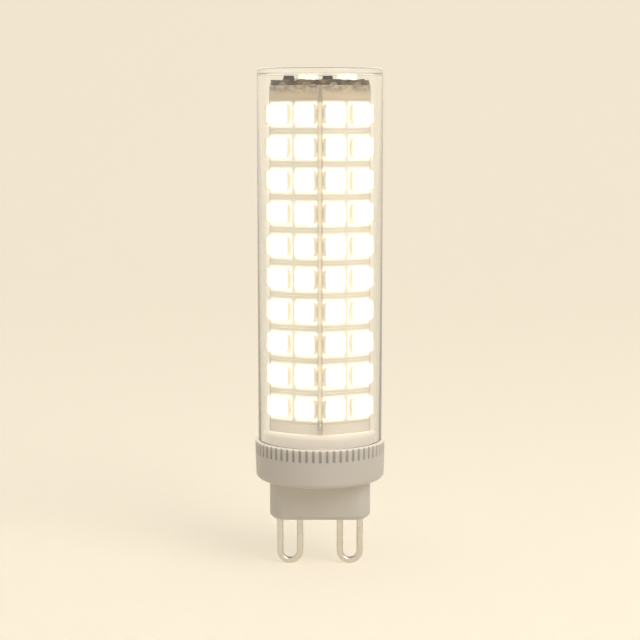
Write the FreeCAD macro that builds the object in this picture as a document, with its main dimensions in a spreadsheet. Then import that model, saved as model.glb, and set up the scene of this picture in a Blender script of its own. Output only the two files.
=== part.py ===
import FreeCAD, Part
import os

import Sketcher

# A corn LED bulb in millimetres. The axis is Z, up. The origin is the middle of the plug's lower face,
# where the contact pins leave it. The column of boards has one corner towards -Y.

DRIVING_SIZES = [
    # LED packages and the boards that carry them
    ("led_length", 3.5, "LED package along the board's width"),
    ("led_width", 2.8, "LED package along the bulb's axis"),
    ("led_height", 0.7, "LED package above its board"),
    ("window_margin_side", 0.35, "package wall beside the phosphor window, along its length"),
    ("window_margin_end", 0.3, "package wall beside the phosphor window, along its width"),
    ("window_depth", 0.3, "depth of the phosphor window"),
    ("column_gap", 1.15, "between the two LED columns of a board"),
    ("row_gap", 1.92, "between LED rows"),
    ("row_count", 10, "LED rows on a board"),
    ("led_edge_margin", 0.05, "from an LED to the side edge of its board"),
    ("bottom_strip", 2.35, "bare board below the lowest row"),
    ("top_strip", 2.7, "bare board above the highest row"),
    ("panel_thickness", 0.6, "side board"),
    # Top board and what stands on it
    ("top_board_thickness", 0.8, "top board"),
    ("top_board_setback", 0.25, "side board's outer face to the top board's edge"),
    ("top_row_y", -0.75, "row of parts on the top board, from the axis"),
    ("top_row_gap", 0.6, "between neighbouring parts on the top board"),
    ("regulator_length", 2.9, "current regulator along Y"),
    ("regulator_width", 1.6, "current regulator along X"),
    ("regulator_height", 0.65, "current regulator above the top board"),
    # Cover tube
    ("led_clearance", 0.17, "LED corner to the tube's bore"),
    ("tube_wall", 1.0, "cover tube's wall"),
    ("lid_thickness", 0.85, "cover tube's closed end"),
    ("lid_clearance", 0.15, "top LED to the lid"),
    ("lid_edge_radius", 0.4, "round on the lid's outer edge"),
    # Moulded base
    ("collar_lip", 0.45, "collar's top face outside the tube"),
    ("collar_draft", 0.12, "collar's radius lost towards its lower edge"),
    ("collar_height", 5.75, "collar"),
    ("collar_edge_radius", 0.7, "round on the collar's lower edge"),
    ("spigot_height", 2.1, "spigot above the collar's top face"),
    ("spigot_clearance", 0.08, "spigot to the tube's bore"),
    ("boss_height", 2.2, "five-sided boss above the spigot"),
    ("boss_clearance", 0.1, "boss to the side boards"),
    ("rib_count", 60, "ribs round the collar"),
    ("rib_groove_width", 0.5, "groove between two ribs at the surface"),
    ("rib_groove_depth", 0.2, "groove between two ribs"),
    ("rib_height", 2.0, "ribs below the collar's top face"),
    ("plug_end_wall", 1.0, "plug beyond a pin, along X"),
    ("plug_width", 8.2, "plug along Y"),
    ("plug_height", 6.0, "plug below the collar"),
    ("plug_corner_radius", 2.6, "upright corners of the plug"),
    ("plug_lead_in", 0.6, "chamfer round the plug's lower face"),
    ("floor_thickness", 3.6, "plug's floor below the lead chamber"),
    ("chamber_clearance", 0.3, "leads to the walls of their chamber"),
    # Contact pins
    ("pin_spacing", 9.0, "between the two pins"),
    ("pin_loop_width", 3.0, "between the two legs of a pin"),
    ("pin_wire_diameter", 1.0, "pin wire"),
    ("pin_length", 7.5, "pin below the plug"),
    ("pin_tail", 0.8, "inner leg above the plug's floor"),
    ("pin_anchor", 2.6, "outer leg inside the plug's floor"),
    ("pin_clearance", 0.02, "pin wire to its hole"),
    # Driver board and what it carries
    ("driver_side_gap", 1.2, "driver board's side edge to the side boards' inscribed circle"),
    ("driver_thickness", 1.0, "driver board"),
    ("driver_head", 4.0, "driver board above the capacitor"),
    ("driver_slot_depth", 3.0, "slot in the boss for the driver board"),
    ("driver_slot_clearance", 0.1, "driver board to its slot"),
    ("lead_diameter", 1.2, "insulated lead"),
    ("lead_clearance", 0.05, "leads and round components to the driver board"),
    ("lead_hole_clearance", 0.05, "lead to its hole in the top board"),
    ("input_lead_overlap", 3.0, "lead from a pin, above the boss"),
    ("output_lead_overlap", 6.0, "lead to the top board, beside the driver board"),
    ("output_lead_inset", 1.1, "lead to the top board, from the driver board's side edge"),
    ("component_lead_diameter", 0.6, "bare component lead"),
    ("component_lead_bend", 0.9, "bend of a bare component lead, at its middle"),
    ("fuse_diameter", 2.4, "fuse resistor"),
    ("fuse_length", 6.0, "fuse resistor"),
    ("fuse_gap", 2.0, "fuse resistor's lower lead above the boss"),
    ("fuse_edge_radius", 0.6, "rounded ends of the fuse resistor"),
    ("capacitor_diameter", 5.0, "smoothing capacitor"),
    ("capacitor_length", 11.0, "smoothing capacitor"),
    ("capacitor_gap", 1.0, "capacitor's leads above the fuse resistor's upper lead"),
    ("capacitor_edge_radius", 0.5, "rolled edges of the capacitor's can"),
    ("capacitor_lead_pitch", 2.0, "between the capacitor's leads"),
    ("rectifier_length", 4.7, "bridge rectifier along X"),
    ("rectifier_width", 3.9, "bridge rectifier along Z"),
    ("rectifier_height", 1.4, "bridge rectifier above the driver board"),
    ("rectifier_gap", 2.0, "bridge rectifier above the boss"),
    ("chip_length", 3.2, "chip resistor along X"),
    ("chip_width", 1.6, "chip resistor along Z"),
    ("chip_height", 0.6, "chip resistor above the driver board"),
    ("chip_gap", 1.2, "between chip resistors, and below the lowest"),
    ("chip_count", 3, "chip resistors on the driver board"),
    # Solder
    ("joint_height", 0.55, "solder joint up the top board's edge"),
    ("joint_length", 1.5, "solder joint along the top board's edge"),
    ("joint_pitch", 4.2, "between the two solder joints of a side board"),
    ("seam_joint_height", 1.2, "solder joint in the seam between two boards"),
    ("seam_joint_rise", 0.6, "seam joint above the boards' lower ends"),
]

SIDES = 5
TURN = 360 / SIDES
FIRST_CORNER_ANGLE = -90
FIRST_BOARD_ANGLE = FIRST_CORNER_ANGLE + TURN / 2

# Places that several pieces share, worked out from the driving sizes
SHARED_PLACES = [
    ("panel_width", "2 * Size.led_length + Size.column_gap + 2 * Size.led_edge_margin"),
    ("column_pitch", "Size.led_length + Size.column_gap"),
    ("row_pitch", "Size.led_width + Size.row_gap"),
    ("window_length", "Size.led_length - 2 * Size.window_margin_side"),
    ("window_width", "Size.led_width - 2 * Size.window_margin_end"),
    ("panel_back", f"Layout.panel_width / (2 * tan({TURN / 2} deg))"),
    ("panel_face", "Layout.panel_back + Size.panel_thickness"),
    ("led_face", "Layout.panel_face + Size.led_height"),
    ("led_corner", "sqrt(Layout.led_face ^ 2 + (Layout.panel_width / 2 - Size.led_edge_margin) ^ 2)"),
    ("bore_radius", "Layout.led_corner + Size.led_clearance"),
    ("tube_radius", "Layout.bore_radius + Size.tube_wall"),
    ("collar_radius", "Layout.tube_radius + Size.collar_lip"),
    ("spigot_radius", "Layout.bore_radius - Size.spigot_clearance"),
    ("boss_apothem", "Layout.panel_back - Size.boss_clearance"),
    ("collar_top", "Size.plug_height + Size.collar_height"),
    ("seat", "Layout.collar_top + Size.spigot_height"),
    ("boss_top", "Layout.seat + Size.boss_height"),
    ("rows_height", "Size.led_width + (Size.row_count - 1) * Layout.row_pitch"),
    ("panel_height", "Size.bottom_strip + Layout.rows_height + Size.top_strip"),
    ("panel_top", "Layout.seat + Layout.panel_height"),
    ("lowest_row", "Layout.seat + Size.bottom_strip + Size.led_width / 2"),
    ("top_board_top", "Layout.panel_top + Size.top_board_thickness"),
    ("top_board_apothem", "Layout.panel_face - Size.top_board_setback"),
    ("top_led_face", "Layout.top_board_top + Size.led_height"),
    ("top_pair_pitch", "Size.regulator_width + Size.led_width + 2 * Size.top_row_gap"),
    ("first_regulator_x", "-Layout.top_pair_pitch / 2 - (Size.led_width + Size.top_row_gap) / 2"),
    ("first_top_led_x", "-Layout.top_pair_pitch / 2 + (Size.regulator_width + Size.top_row_gap) / 2"),
    ("lid_inside", "Layout.top_led_face + Size.lid_clearance"),
    ("tube_top", "Layout.lid_inside + Size.lid_thickness"),
    ("pin_radius", "Size.pin_wire_diameter / 2"),
    ("inner_leg", "(Size.pin_spacing - Size.pin_loop_width) / 2"),
    ("outer_leg", "(Size.pin_spacing + Size.pin_loop_width) / 2"),
    ("pin_top", "Size.floor_thickness + Size.pin_tail"),
    ("plug_length", "2 * (Layout.outer_leg + Layout.pin_radius + Size.plug_end_wall)"),
    ("lead_radius", "Size.lead_diameter / 2"),
    ("driver_front", "Layout.lead_radius + Size.lead_clearance"),
    ("driver_back", "Layout.driver_front + Size.driver_thickness"),
    ("driver_width", "2 * (Layout.panel_back - Size.driver_side_gap)"),
    ("driver_bottom", "Layout.boss_top - Size.driver_slot_depth"),
    ("lead_reach", "Size.component_lead_bend + Size.component_lead_diameter / 2"),
    ("fuse_bottom", "Layout.boss_top + Size.fuse_gap + Layout.lead_reach"),
    ("fuse_top", "Layout.fuse_bottom + Size.fuse_length"),
    ("capacitor_bottom", "Layout.fuse_top + 2 * Layout.lead_reach + Size.capacitor_gap"),
    ("driver_top", "Layout.capacitor_bottom + Size.capacitor_length + Size.driver_head"),
    ("rectifier_bottom", "Layout.boss_top + Size.rectifier_gap"),
    ("lowest_chip", "Layout.rectifier_bottom + Size.rectifier_width + Size.chip_gap + Size.chip_width / 2"),
    ("output_lead_x", "Layout.driver_width / 2 - Size.output_lead_inset"),
    ("output_lead_y", "Layout.driver_back + Layout.lead_radius + Size.lead_clearance"),
]

# Middles of the first LED of a side board, and of the first LED and regulator of the top board
FIRST_LED = ("-Layout.column_pitch / 2", "Layout.lowest_row")
FIRST_TOP_LED = ("Layout.first_top_led_x", "Size.top_row_y")
FIRST_REGULATOR = ("Layout.first_regulator_x", "Size.top_row_y")

# Edges are picked by their place, to within this distance
NEAR = 1e-4

doc = FreeCAD.newDocument("corn_led_bulb")
size = doc.addObject("Spreadsheet::Sheet", "Size")
for row, (alias, number, meaning) in enumerate(DRIVING_SIZES, start=1):
    size.set(f"A{row}", alias)
    size.set(f"B{row}", str(number))
    size.set(f"C{row}", meaning)
    size.setAlias(f"B{row}", alias)
doc.recompute()

layout = doc.addObject("App::VarSet", "Layout")
for place, expression in SHARED_PLACES:
    layout.addProperty("App::PropertyFloat", place)
    layout.setExpression(place, expression)
doc.recompute()

pieces = []


def value(expression):
    """The number that an expression has now."""
    return float(layout.evalExpression(expression))


def piece(thing, label):
    """Names a finished sub-part and puts it on the list that is written out."""
    thing.Label = label
    pieces.append(thing)
    return thing


def bind(thing, **expressions):
    """Ties properties of an object to expressions."""
    for name, expression in expressions.items():
        thing.setExpression(name, expression)
    return thing


def put(thing, x="0", y="0", z="0"):
    """Ties an object's place to expressions."""
    thing.setExpression("Placement.Base.x", x)
    thing.setExpression("Placement.Base.y", y)
    thing.setExpression("Placement.Base.z", z)
    return thing


def turn(thing, axis, angle):
    """Turns an object about an axis by a fixed number of degrees."""
    thing.Placement.Rotation = FreeCAD.Rotation(axis, angle)
    return thing


def box(name, length, width, height, x, y, z):
    """A box between its lowest corner and its three sizes."""
    return put(bind(doc.addObject("Part::Box", name), Length=length, Width=width, Height=height), x, y, z)


def upright_rod(name, radius, length, x, y, z):
    """A round rod that stands up from x, y, z."""
    return put(bind(doc.addObject("Part::Cylinder", name), Radius=radius, Height=length), x, y, z)


def origin_feature(body, role):
    """A body's own origin plane or axis."""
    return next(feature for feature in body.Origin.OriginFeatures if feature.Role == role)


def new_body(name, label):
    return piece(doc.addObject("PartDesign::Body", name), label)


def new_sketch(body, name, role, offset="0"):
    """A sketch on one of the body's origin planes, moved along the plane's normal."""
    sketch = body.newObject("Sketcher::SketchObject", name)
    sketch.AttachmentSupport = [(origin_feature(body, role), "")]
    sketch.MapMode = "FlatFace"
    sketch.setExpression("AttachmentOffset.Base.z", offset)
    return sketch


def hold_point(sketch, geometry, point, x, y):
    """Fixes one point of a sketch at two bound distances from the sketch's origin."""
    for kind, axis, expression in (("DistanceX", -2, x), ("DistanceY", -1, y)):
        if expression == "0":
            sketch.addConstraint(Sketcher.Constraint("PointOnObject", geometry, point, axis))
            continue
        distance = Sketcher.Constraint(kind, -1, 1, geometry, point, value(expression))
        sketch.setExpression(f"Constraints[{sketch.addConstraint(distance)}]", expression)


def draw_outline(sketch, corners):
    """Draws a closed outline of straight lines through corners given as pairs of expressions."""
    points = [FreeCAD.Vector(value(x), value(y), 0) for x, y in corners]
    lines = [
        sketch.addGeometry(Part.LineSegment(start, end), False)
        for start, end in zip(points, points[1:] + points[:1])
    ]
    for line, following in zip(lines, lines[1:] + lines[:1]):
        sketch.addConstraint(Sketcher.Constraint("Coincident", line, 2, following, 1))
    for line, (x, y) in zip(lines, corners):
        hold_point(sketch, line, 1, x, y)


def draw_rectangle(sketch, x, y, width, height):
    """Draws a rectangle about its middle."""
    left, right = f"{x} - ({width}) / 2", f"{x} + ({width}) / 2"
    low, high = f"{y} - ({height}) / 2", f"{y} + ({height}) / 2"
    draw_outline(sketch, [(left, low), (right, low), (right, high), (left, high)])


def draw_circle(sketch, x, y, radius):
    centre = FreeCAD.Vector(value(x), value(y), 0)
    circle = sketch.addGeometry(Part.Circle(centre, FreeCAD.Vector(0, 0, 1), value(radius)), False)
    hold_point(sketch, circle, 3, x, y)
    size_constraint = sketch.addConstraint(Sketcher.Constraint("Radius", circle, value(radius)))
    sketch.setExpression(f"Constraints[{size_constraint}]", radius)


def draw_regular(sketch, apothem, first_corner):
    """Draws a regular outline with one side for each board."""
    reach = f"({apothem}) / cos({TURN / 2} deg)"
    angles = [f"{first_corner + TURN * side} deg" for side in range(SIDES)]
    draw_outline(sketch, [(f"{reach} * cos({angle})", f"{reach} * sin({angle})") for angle in angles])


def revolve(body, sketch, name):
    feature = body.newObject("PartDesign::Revolution", name)
    feature.Profile = sketch
    feature.ReferenceAxis = (sketch, ["V_Axis"])
    feature.Angle = 360
    doc.recompute()
    return feature


def pad(body, sketch, name, length, midplane=False):
    feature = body.newObject("PartDesign::Pad", name)
    feature.Profile = sketch
    if midplane:
        feature.SideType = "Symmetric"
    feature.setExpression("Length", length)
    doc.recompute()
    return feature


def pocket(body, sketch, name, length, upward=False):
    """Cuts from the sketch's plane, downward or upward, and makes sure that it took material."""
    before = body.Shape.Volume
    feature = body.newObject("PartDesign::Pocket", name)
    feature.Profile = sketch
    feature.Reversed = upward
    feature.setExpression("Length", length)
    doc.recompute()
    if not body.Shape.Volume < before:
        raise RuntimeError(f"{name} cuts nothing")
    return feature


def edges_where(feature, test):
    return [f"Edge{index}" for index, edge in enumerate(feature.Shape.Edges, start=1) if test(edge)]


def dress(body, kind, name, base, edges, **expressions):
    """Adds a fillet or a chamfer to edges of the body's last feature."""
    feature = body.newObject(kind, name)
    feature.Base = (base, edges)
    bind(feature, **expressions)
    doc.recompute()
    return feature


def is_ring_at(edge, height, radius):
    """Tells whether an edge is a level circle of that radius at a height."""
    level = edge.BoundBox.ZLength < NEAR and abs(edge.BoundBox.ZMin - height) < NEAR
    return level and isinstance(edge.Curve, Part.Circle) and abs(edge.Curve.Radius - radius) < NEAR


def cover_tube():
    """The clear tube: it stands on the collar's top face round the spigot, and its top is closed."""
    body = new_body("CoverTube", "cover_tube")
    section = new_sketch(body, "TubeSection", "XZ_Plane")
    draw_outline(section, [
        ("Layout.tube_radius", "Layout.collar_top"),
        ("Layout.tube_radius", "Layout.tube_top"),
        ("0", "Layout.tube_top"),
        ("0", "Layout.lid_inside"),
        ("Layout.bore_radius", "Layout.lid_inside"),
        ("Layout.bore_radius", "Layout.collar_top"),
    ])
    shell = revolve(body, section, "TubeTurned")
    rim = edges_where(shell, lambda edge: is_ring_at(edge, layout.tube_top, layout.tube_radius))
    dress(body, "PartDesign::Fillet", "LidEdge", shell, rim, Radius="Size.lid_edge_radius")


def base_housing():
    """The moulded base: ribbed collar, spigot and boss above it, plug below it, lead chamber inside."""
    body = new_body("BaseHousing", "base_housing")

    plug_outline = new_sketch(body, "PlugOutline", "XY_Plane")
    draw_rectangle(plug_outline, "0", "0", "Layout.plug_length", "Size.plug_width")
    plug = pad(body, plug_outline, "Plug", "Size.plug_height")
    half_length, half_width = layout.plug_length / 2, size.plug_width / 2
    upright = edges_where(plug, lambda edge: edge.BoundBox.ZLength > NEAR and all(
        abs(abs(v.X) - half_length) < NEAR and abs(abs(v.Y) - half_width) < NEAR for v in edge.Vertexes
    ))
    rounded = dress(
        body, "PartDesign::Fillet", "PlugCorners", plug, upright, Radius="Size.plug_corner_radius",
    )
    lowest = edges_where(rounded, lambda edge: edge.BoundBox.ZMax < NEAR)
    dress(body, "PartDesign::Chamfer", "PlugLeadIn", rounded, lowest, Size="Size.plug_lead_in")

    section = new_sketch(body, "CollarSection", "XZ_Plane")
    draw_outline(section, [
        ("0", "Size.plug_height"),
        ("Layout.collar_radius - Size.collar_draft", "Size.plug_height"),
        ("Layout.collar_radius", "Layout.collar_top"),
        ("Layout.spigot_radius", "Layout.collar_top"),
        ("Layout.spigot_radius", "Layout.seat"),
        ("0", "Layout.seat"),
    ])
    collar = revolve(body, section, "CollarTurned")
    lower_radius = layout.collar_radius - size.collar_draft
    lower_edge = edges_where(collar, lambda edge: is_ring_at(edge, size.plug_height, lower_radius))
    dress(body, "PartDesign::Fillet", "CollarEdge", collar, lower_edge, Radius="Size.collar_edge_radius")

    boss_outline = new_sketch(body, "BossOutline", "XY_Plane", "Layout.seat")
    draw_regular(boss_outline, "Layout.boss_apothem", FIRST_CORNER_ANGLE)
    pad(body, boss_outline, "Boss", "Size.boss_height")

    chamber_outline = new_sketch(body, "ChamberOutline", "XY_Plane", "Layout.boss_top")
    half_chamber = "Layout.inner_leg + Layout.lead_radius + Size.chamber_clearance"
    chamber_front = "-(Layout.lead_radius + Size.chamber_clearance)"
    draw_outline(chamber_outline, [
        (f"-({half_chamber})", chamber_front),
        (half_chamber, chamber_front),
        (half_chamber, "Layout.driver_front"),
        (f"-({half_chamber})", "Layout.driver_front"),
    ])
    pocket(body, chamber_outline, "Chamber", "Layout.boss_top - Size.floor_thickness")

    slot_outline = new_sketch(body, "SlotOutline", "XY_Plane", "Layout.boss_top")
    slot_middle = "(Layout.driver_front + Layout.driver_back) / 2"
    slot_length = "Layout.driver_width + 2 * Size.driver_slot_clearance"
    slot_width = "Size.driver_thickness + 2 * Size.driver_slot_clearance"
    draw_rectangle(slot_outline, "0", slot_middle, slot_length, slot_width)
    pocket(body, slot_outline, "DriverSlot", "Size.driver_slot_depth")

    hole_radius = "Layout.pin_radius + Size.pin_clearance"
    for name, leg, depth in (
        ("InnerLegHoles", "Layout.inner_leg", "Size.floor_thickness"),
        ("OuterLegHoles", "Layout.outer_leg", "Size.pin_anchor + Size.pin_clearance"),
    ):
        holes = new_sketch(body, name + "Outline", "XY_Plane")
        draw_circle(holes, f"-{leg}", "0", hole_radius)
        draw_circle(holes, leg, "0", hole_radius)
        pocket(body, holes, name, depth, upward=True)

    groove = new_sketch(body, "GrooveOutline", "XY_Plane", "Layout.collar_top")
    overrun = "Layout.collar_radius + Size.rib_groove_depth"
    draw_outline(groove, [
        ("Layout.collar_radius - Size.rib_groove_depth", "0"),
        (overrun, "-Size.rib_groove_width"),
        (overrun, "Size.rib_groove_width"),
    ])
    first_groove = pocket(body, groove, "RibGroove", "Size.rib_height")
    ribs = body.newObject("PartDesign::PolarPattern", "Ribs")
    ribs.Originals = [first_groove]
    ribs.Axis = (origin_feature(body, "Z_Axis"), [""])
    ribs.Angle = 360
    ribs.setExpression("Occurrences", "Size.rib_count")
    body.Tip = ribs


def contact_pin(label, side):
    """A wire bent into a loop: its inner leg goes through the plug's floor, its outer leg ends in it."""
    name = label.title().replace("_", "")
    bend_height = "-(Size.pin_length - Layout.pin_radius - Size.pin_loop_width / 2)"
    inner_x, outer_x = f"{side} * Layout.inner_leg", f"{side} * Layout.outer_leg"
    inner_length = f"Layout.pin_top - ({bend_height})"
    outer_length = f"Size.pin_anchor - ({bend_height})"
    inner = upright_rod(name + "InnerLeg", "Layout.pin_radius", inner_length, inner_x, "0", bend_height)
    outer = upright_rod(name + "OuterLeg", "Layout.pin_radius", outer_length, outer_x, "0", bend_height)
    bend = doc.addObject("Part::Torus", name + "Bend")
    bind(bend, Radius1="Size.pin_loop_width / 2", Radius2="Layout.pin_radius")
    bend.Angle3 = 180
    turn(bend, FreeCAD.Vector(1, 0, 0), -90)
    put(bend, f"{side} * Size.pin_spacing / 2", "0", bend_height)
    loop = doc.addObject("Part::MultiFuse", name)
    loop.Shapes = [inner, bend, outer]
    piece(loop, label)


def board_angle(board):
    return FIRST_BOARD_ANGLE + TURN * board


def led_panel(board):
    """One straight-cut side board, its back edges against its neighbours' back edges."""
    angle = board_angle(board)
    panel = doc.addObject("Part::Box", f"LedPanel{board + 1}")
    bind(panel, Length="Size.panel_thickness", Width="Layout.panel_width", Height="Layout.panel_height")
    turn(panel, FreeCAD.Vector(0, 0, 1), angle)
    half = "Layout.panel_width / 2"
    put(
        panel,
        f"Layout.panel_back * cos({angle} deg) + {half} * sin({angle} deg)",
        f"Layout.panel_back * sin({angle} deg) - {half} * cos({angle} deg)",
        "Layout.seat",
    )
    piece(panel, f"led_panel_{board + 1}")


def grid(body, name, across, up=None):
    """Repeats the whole body: across and up are an axis, a count and a pitch each."""
    pattern = body.newObject("PartDesign::LinearPattern", name)
    pattern.TransformMode = "Whole shape"
    pattern.Direction = across[0]
    bind(pattern, Occurrences=across[1], Length=f"({across[1]} - 1) * ({across[2]})")
    if up:
        pattern.Direction2 = up[0]
        bind(pattern, Occurrences2=up[1], Length2=f"({up[1]} - 1) * ({up[2]})")
    body.Tip = pattern
    doc.recompute()


def led_packages(board):
    """The white packages of one board, each with an open window, on the board's outer face."""
    body = new_body(f"LedPackages{board + 1}", f"led_packages_{board + 1}")
    outline = new_sketch(body, f"PackageOutline{board + 1}", "YZ_Plane", "Layout.panel_face")
    draw_rectangle(outline, *FIRST_LED, "Size.led_length", "Size.led_width")
    pad(body, outline, f"Package{board + 1}", "Size.led_height")
    window = new_sketch(body, f"WindowOutline{board + 1}", "YZ_Plane", "Layout.led_face")
    draw_rectangle(window, *FIRST_LED, "Layout.window_length", "Layout.window_width")
    pocket(body, window, f"Window{board + 1}", "Size.window_depth")
    grid(
        body, f"PackageGrid{board + 1}",
        ((outline, ["H_Axis"]), "2", "Layout.column_pitch"),
        ((outline, ["V_Axis"]), "Size.row_count", "Layout.row_pitch"),
    )
    turn(body, FreeCAD.Vector(0, 0, 1), board_angle(board))


def led_phosphor(board):
    """The phosphor that fills the windows of one board's packages."""
    body = new_body(f"LedPhosphor{board + 1}", f"led_phosphor_{board + 1}")
    window_floor = "Layout.led_face - Size.window_depth"
    outline = new_sketch(body, f"PhosphorOutline{board + 1}", "YZ_Plane", window_floor)
    draw_rectangle(outline, *FIRST_LED, "Layout.window_length", "Layout.window_width")
    pad(body, outline, f"Phosphor{board + 1}", "Size.window_depth")
    grid(
        body, f"PhosphorGrid{board + 1}",
        ((outline, ["H_Axis"]), "2", "Layout.column_pitch"),
        ((outline, ["V_Axis"]), "Size.row_count", "Layout.row_pitch"),
    )
    turn(body, FreeCAD.Vector(0, 0, 1), board_angle(board))


def top_board():
    """The five-sided board that lies on the side boards' upper ends, with holes for two leads."""
    plate = doc.addObject("Part::Prism", "TopPlate")
    plate.Polygon = SIDES
    bind(
        plate,
        Circumradius=f"Layout.top_board_apothem / cos({TURN / 2} deg)",
        Height="Size.top_board_thickness",
    )
    turn(plate, FreeCAD.Vector(0, 0, 1), FIRST_CORNER_ANGLE)
    put(plate, z="Layout.panel_top")
    holes = [
        upright_rod(
            f"TopHole{number}", "Layout.lead_radius + Size.lead_hole_clearance", "Size.top_board_thickness",
            f"{side} * Layout.output_lead_x", "Layout.output_lead_y", "Layout.panel_top",
        )
        for number, side in enumerate((-1, 1), start=1)
    ]
    both = doc.addObject("Part::MultiFuse", "TopHoles")
    both.Shapes = holes
    board = doc.addObject("Part::Cut", "TopBoard")
    board.Base = plate
    board.Tool = both
    piece(board, "top_board")


def top_leds():
    """Two LEDs on the top board that face up, turned so that their length is along Y."""
    body = new_body("TopLedPackages", "top_led_packages")
    outline = new_sketch(body, "TopPackageOutline", "XY_Plane", "Layout.top_board_top")
    draw_rectangle(outline, *FIRST_TOP_LED, "Size.led_width", "Size.led_length")
    pad(body, outline, "TopPackage", "Size.led_height")
    window = new_sketch(body, "TopWindowOutline", "XY_Plane", "Layout.top_led_face")
    draw_rectangle(window, *FIRST_TOP_LED, "Layout.window_width", "Layout.window_length")
    pocket(body, window, "TopWindow", "Size.window_depth")
    grid(body, "TopPackagePair", ((outline, ["H_Axis"]), "2", "Layout.top_pair_pitch"))

    body = new_body("TopLedPhosphor", "top_led_phosphor")
    window_floor = "Layout.top_led_face - Size.window_depth"
    fill_outline = new_sketch(body, "TopPhosphorOutline", "XY_Plane", window_floor)
    draw_rectangle(fill_outline, *FIRST_TOP_LED, "Layout.window_width", "Layout.window_length")
    pad(body, fill_outline, "TopPhosphor", "Size.window_depth")
    grid(body, "TopPhosphorPair", ((fill_outline, ["H_Axis"]), "2", "Layout.top_pair_pitch"))


def current_regulators():
    """Two small dark packages on the top board, beside its LEDs."""
    body = new_body("CurrentRegulators", "current_regulators")
    outline = new_sketch(body, "RegulatorOutline", "XY_Plane", "Layout.top_board_top")
    draw_rectangle(outline, *FIRST_REGULATOR, "Size.regulator_width", "Size.regulator_length")
    pad(body, outline, "Regulator", "Size.regulator_height")
    grid(body, "RegulatorPair", ((outline, ["H_Axis"]), "2", "Layout.top_pair_pitch"))


def repeat_on_boards(body, feature_list, name, steps):
    """Repeats features by one or more pattern steps, the last of them round the column."""
    pattern = body.newObject("PartDesign::MultiTransform", name)
    pattern.Originals = feature_list
    round_column = body.newObject("PartDesign::PolarPattern", name + "Round")
    round_column.Axis = (origin_feature(body, "Z_Axis"), [""])
    round_column.Angle = 360
    round_column.Occurrences = SIDES
    pattern.Transformations = steps + [round_column]
    body.Tip = pattern
    doc.recompute()


def board_joints():
    """Solder fillets on the side boards' upper ends, against the top board's edge, two to a side."""
    body = new_body("BoardJoints", "board_joints")
    section = new_sketch(body, "BoardJointSection", "XZ_Plane", "Size.joint_pitch / 2")
    draw_outline(section, [
        ("Layout.top_board_apothem", "Layout.panel_top"),
        ("Layout.panel_face", "Layout.panel_top"),
        ("Layout.top_board_apothem", "Layout.panel_top + Size.joint_height"),
    ])
    fillet = pad(body, section, "BoardJoint", "Size.joint_length", midplane=True)
    pair = body.newObject("PartDesign::LinearPattern", "BoardJointPair")
    pair.Direction = (origin_feature(body, "Y_Axis"), [""])
    pair.Occurrences = 2
    bind(pair, Length="Size.joint_pitch")
    repeat_on_boards(body, [fillet], "BoardJointSet", [pair])
    turn(body, FreeCAD.Vector(0, 0, 1), FIRST_BOARD_ANGLE)


def seam_joints():
    """Solder that bridges the seam between two neighbouring side boards, near their lower ends."""
    body = new_body("SeamJoints", "seam_joints")
    outline = new_sketch(body, "SeamJointOutline", "XY_Plane", "Layout.seat + Size.seam_joint_rise")
    inner_corner = f"Layout.panel_back / cos({TURN / 2} deg)"
    across = f"Size.panel_thickness * sin({TURN / 2} deg)"
    outward = f"{inner_corner} + Size.panel_thickness * cos({TURN / 2} deg)"
    draw_outline(outline, [(inner_corner, "0"), (outward, f"-{across}"), (outward, across)])
    wedge = pad(body, outline, "SeamJoint", "Size.seam_joint_height")
    repeat_on_boards(body, [wedge], "SeamJointSet", [])
    turn(body, FreeCAD.Vector(0, 0, 1), FIRST_CORNER_ANGLE)


def driver_board():
    """The board that stands in the boss, behind the pins' leads."""
    board = box(
        "DriverBoard",
        "Layout.driver_width", "Size.driver_thickness", "Layout.driver_top - Layout.driver_bottom",
        "-Layout.driver_width / 2", "Layout.driver_front", "Layout.driver_bottom",
    )
    piece(board, "driver_board")


def rounded_can(name, radius, length, edge_radius, y, z):
    """An upright can with rolled edges, turned about its own axis."""
    body = doc.addObject("PartDesign::Body", name)
    section = new_sketch(body, name + "Section", "XZ_Plane")
    draw_outline(section, [("0", "0"), (radius, "0"), (radius, length), ("0", length)])
    can = revolve(body, section, name + "Turned")
    ends = (0, value(length))
    rims = edges_where(can, lambda edge: any(is_ring_at(edge, end, value(radius)) for end in ends))
    dress(body, "PartDesign::Fillet", name + "Rims", can, rims, Radius=edge_radius)
    put(body, "0", y, z)
    return body


def bent_leg(name, x, y, z, downward):
    """A bare lead: a quarter bend from a component's end towards the driver board, and a straight foot."""
    radius = "Size.component_lead_diameter / 2"
    bend = doc.addObject("Part::Torus", name + "Bend")
    bind(bend, Radius1="Size.component_lead_bend", Radius2=radius)
    bend.Angle3 = 90
    in_plane = FreeCAD.Rotation(FreeCAD.Vector(0, 0, 1), 180 if downward else 90)
    into_yz = FreeCAD.Rotation(FreeCAD.Vector(1, 1, 1), 120)
    bend.Placement.Rotation = into_yz.multiply(in_plane)
    middle_y = f"{y} + Size.component_lead_bend"
    put(bend, x, middle_y, z)
    foot = doc.addObject("Part::Cylinder", name + "Foot")
    bind(foot, Radius=radius, Height=f"Layout.driver_front - ({middle_y})")
    turn(foot, FreeCAD.Vector(1, 0, 0), -90)
    sign = "-" if downward else "+"
    put(foot, x, middle_y, f"{z} {sign} Size.component_lead_bend")
    return [bend, foot]


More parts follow.
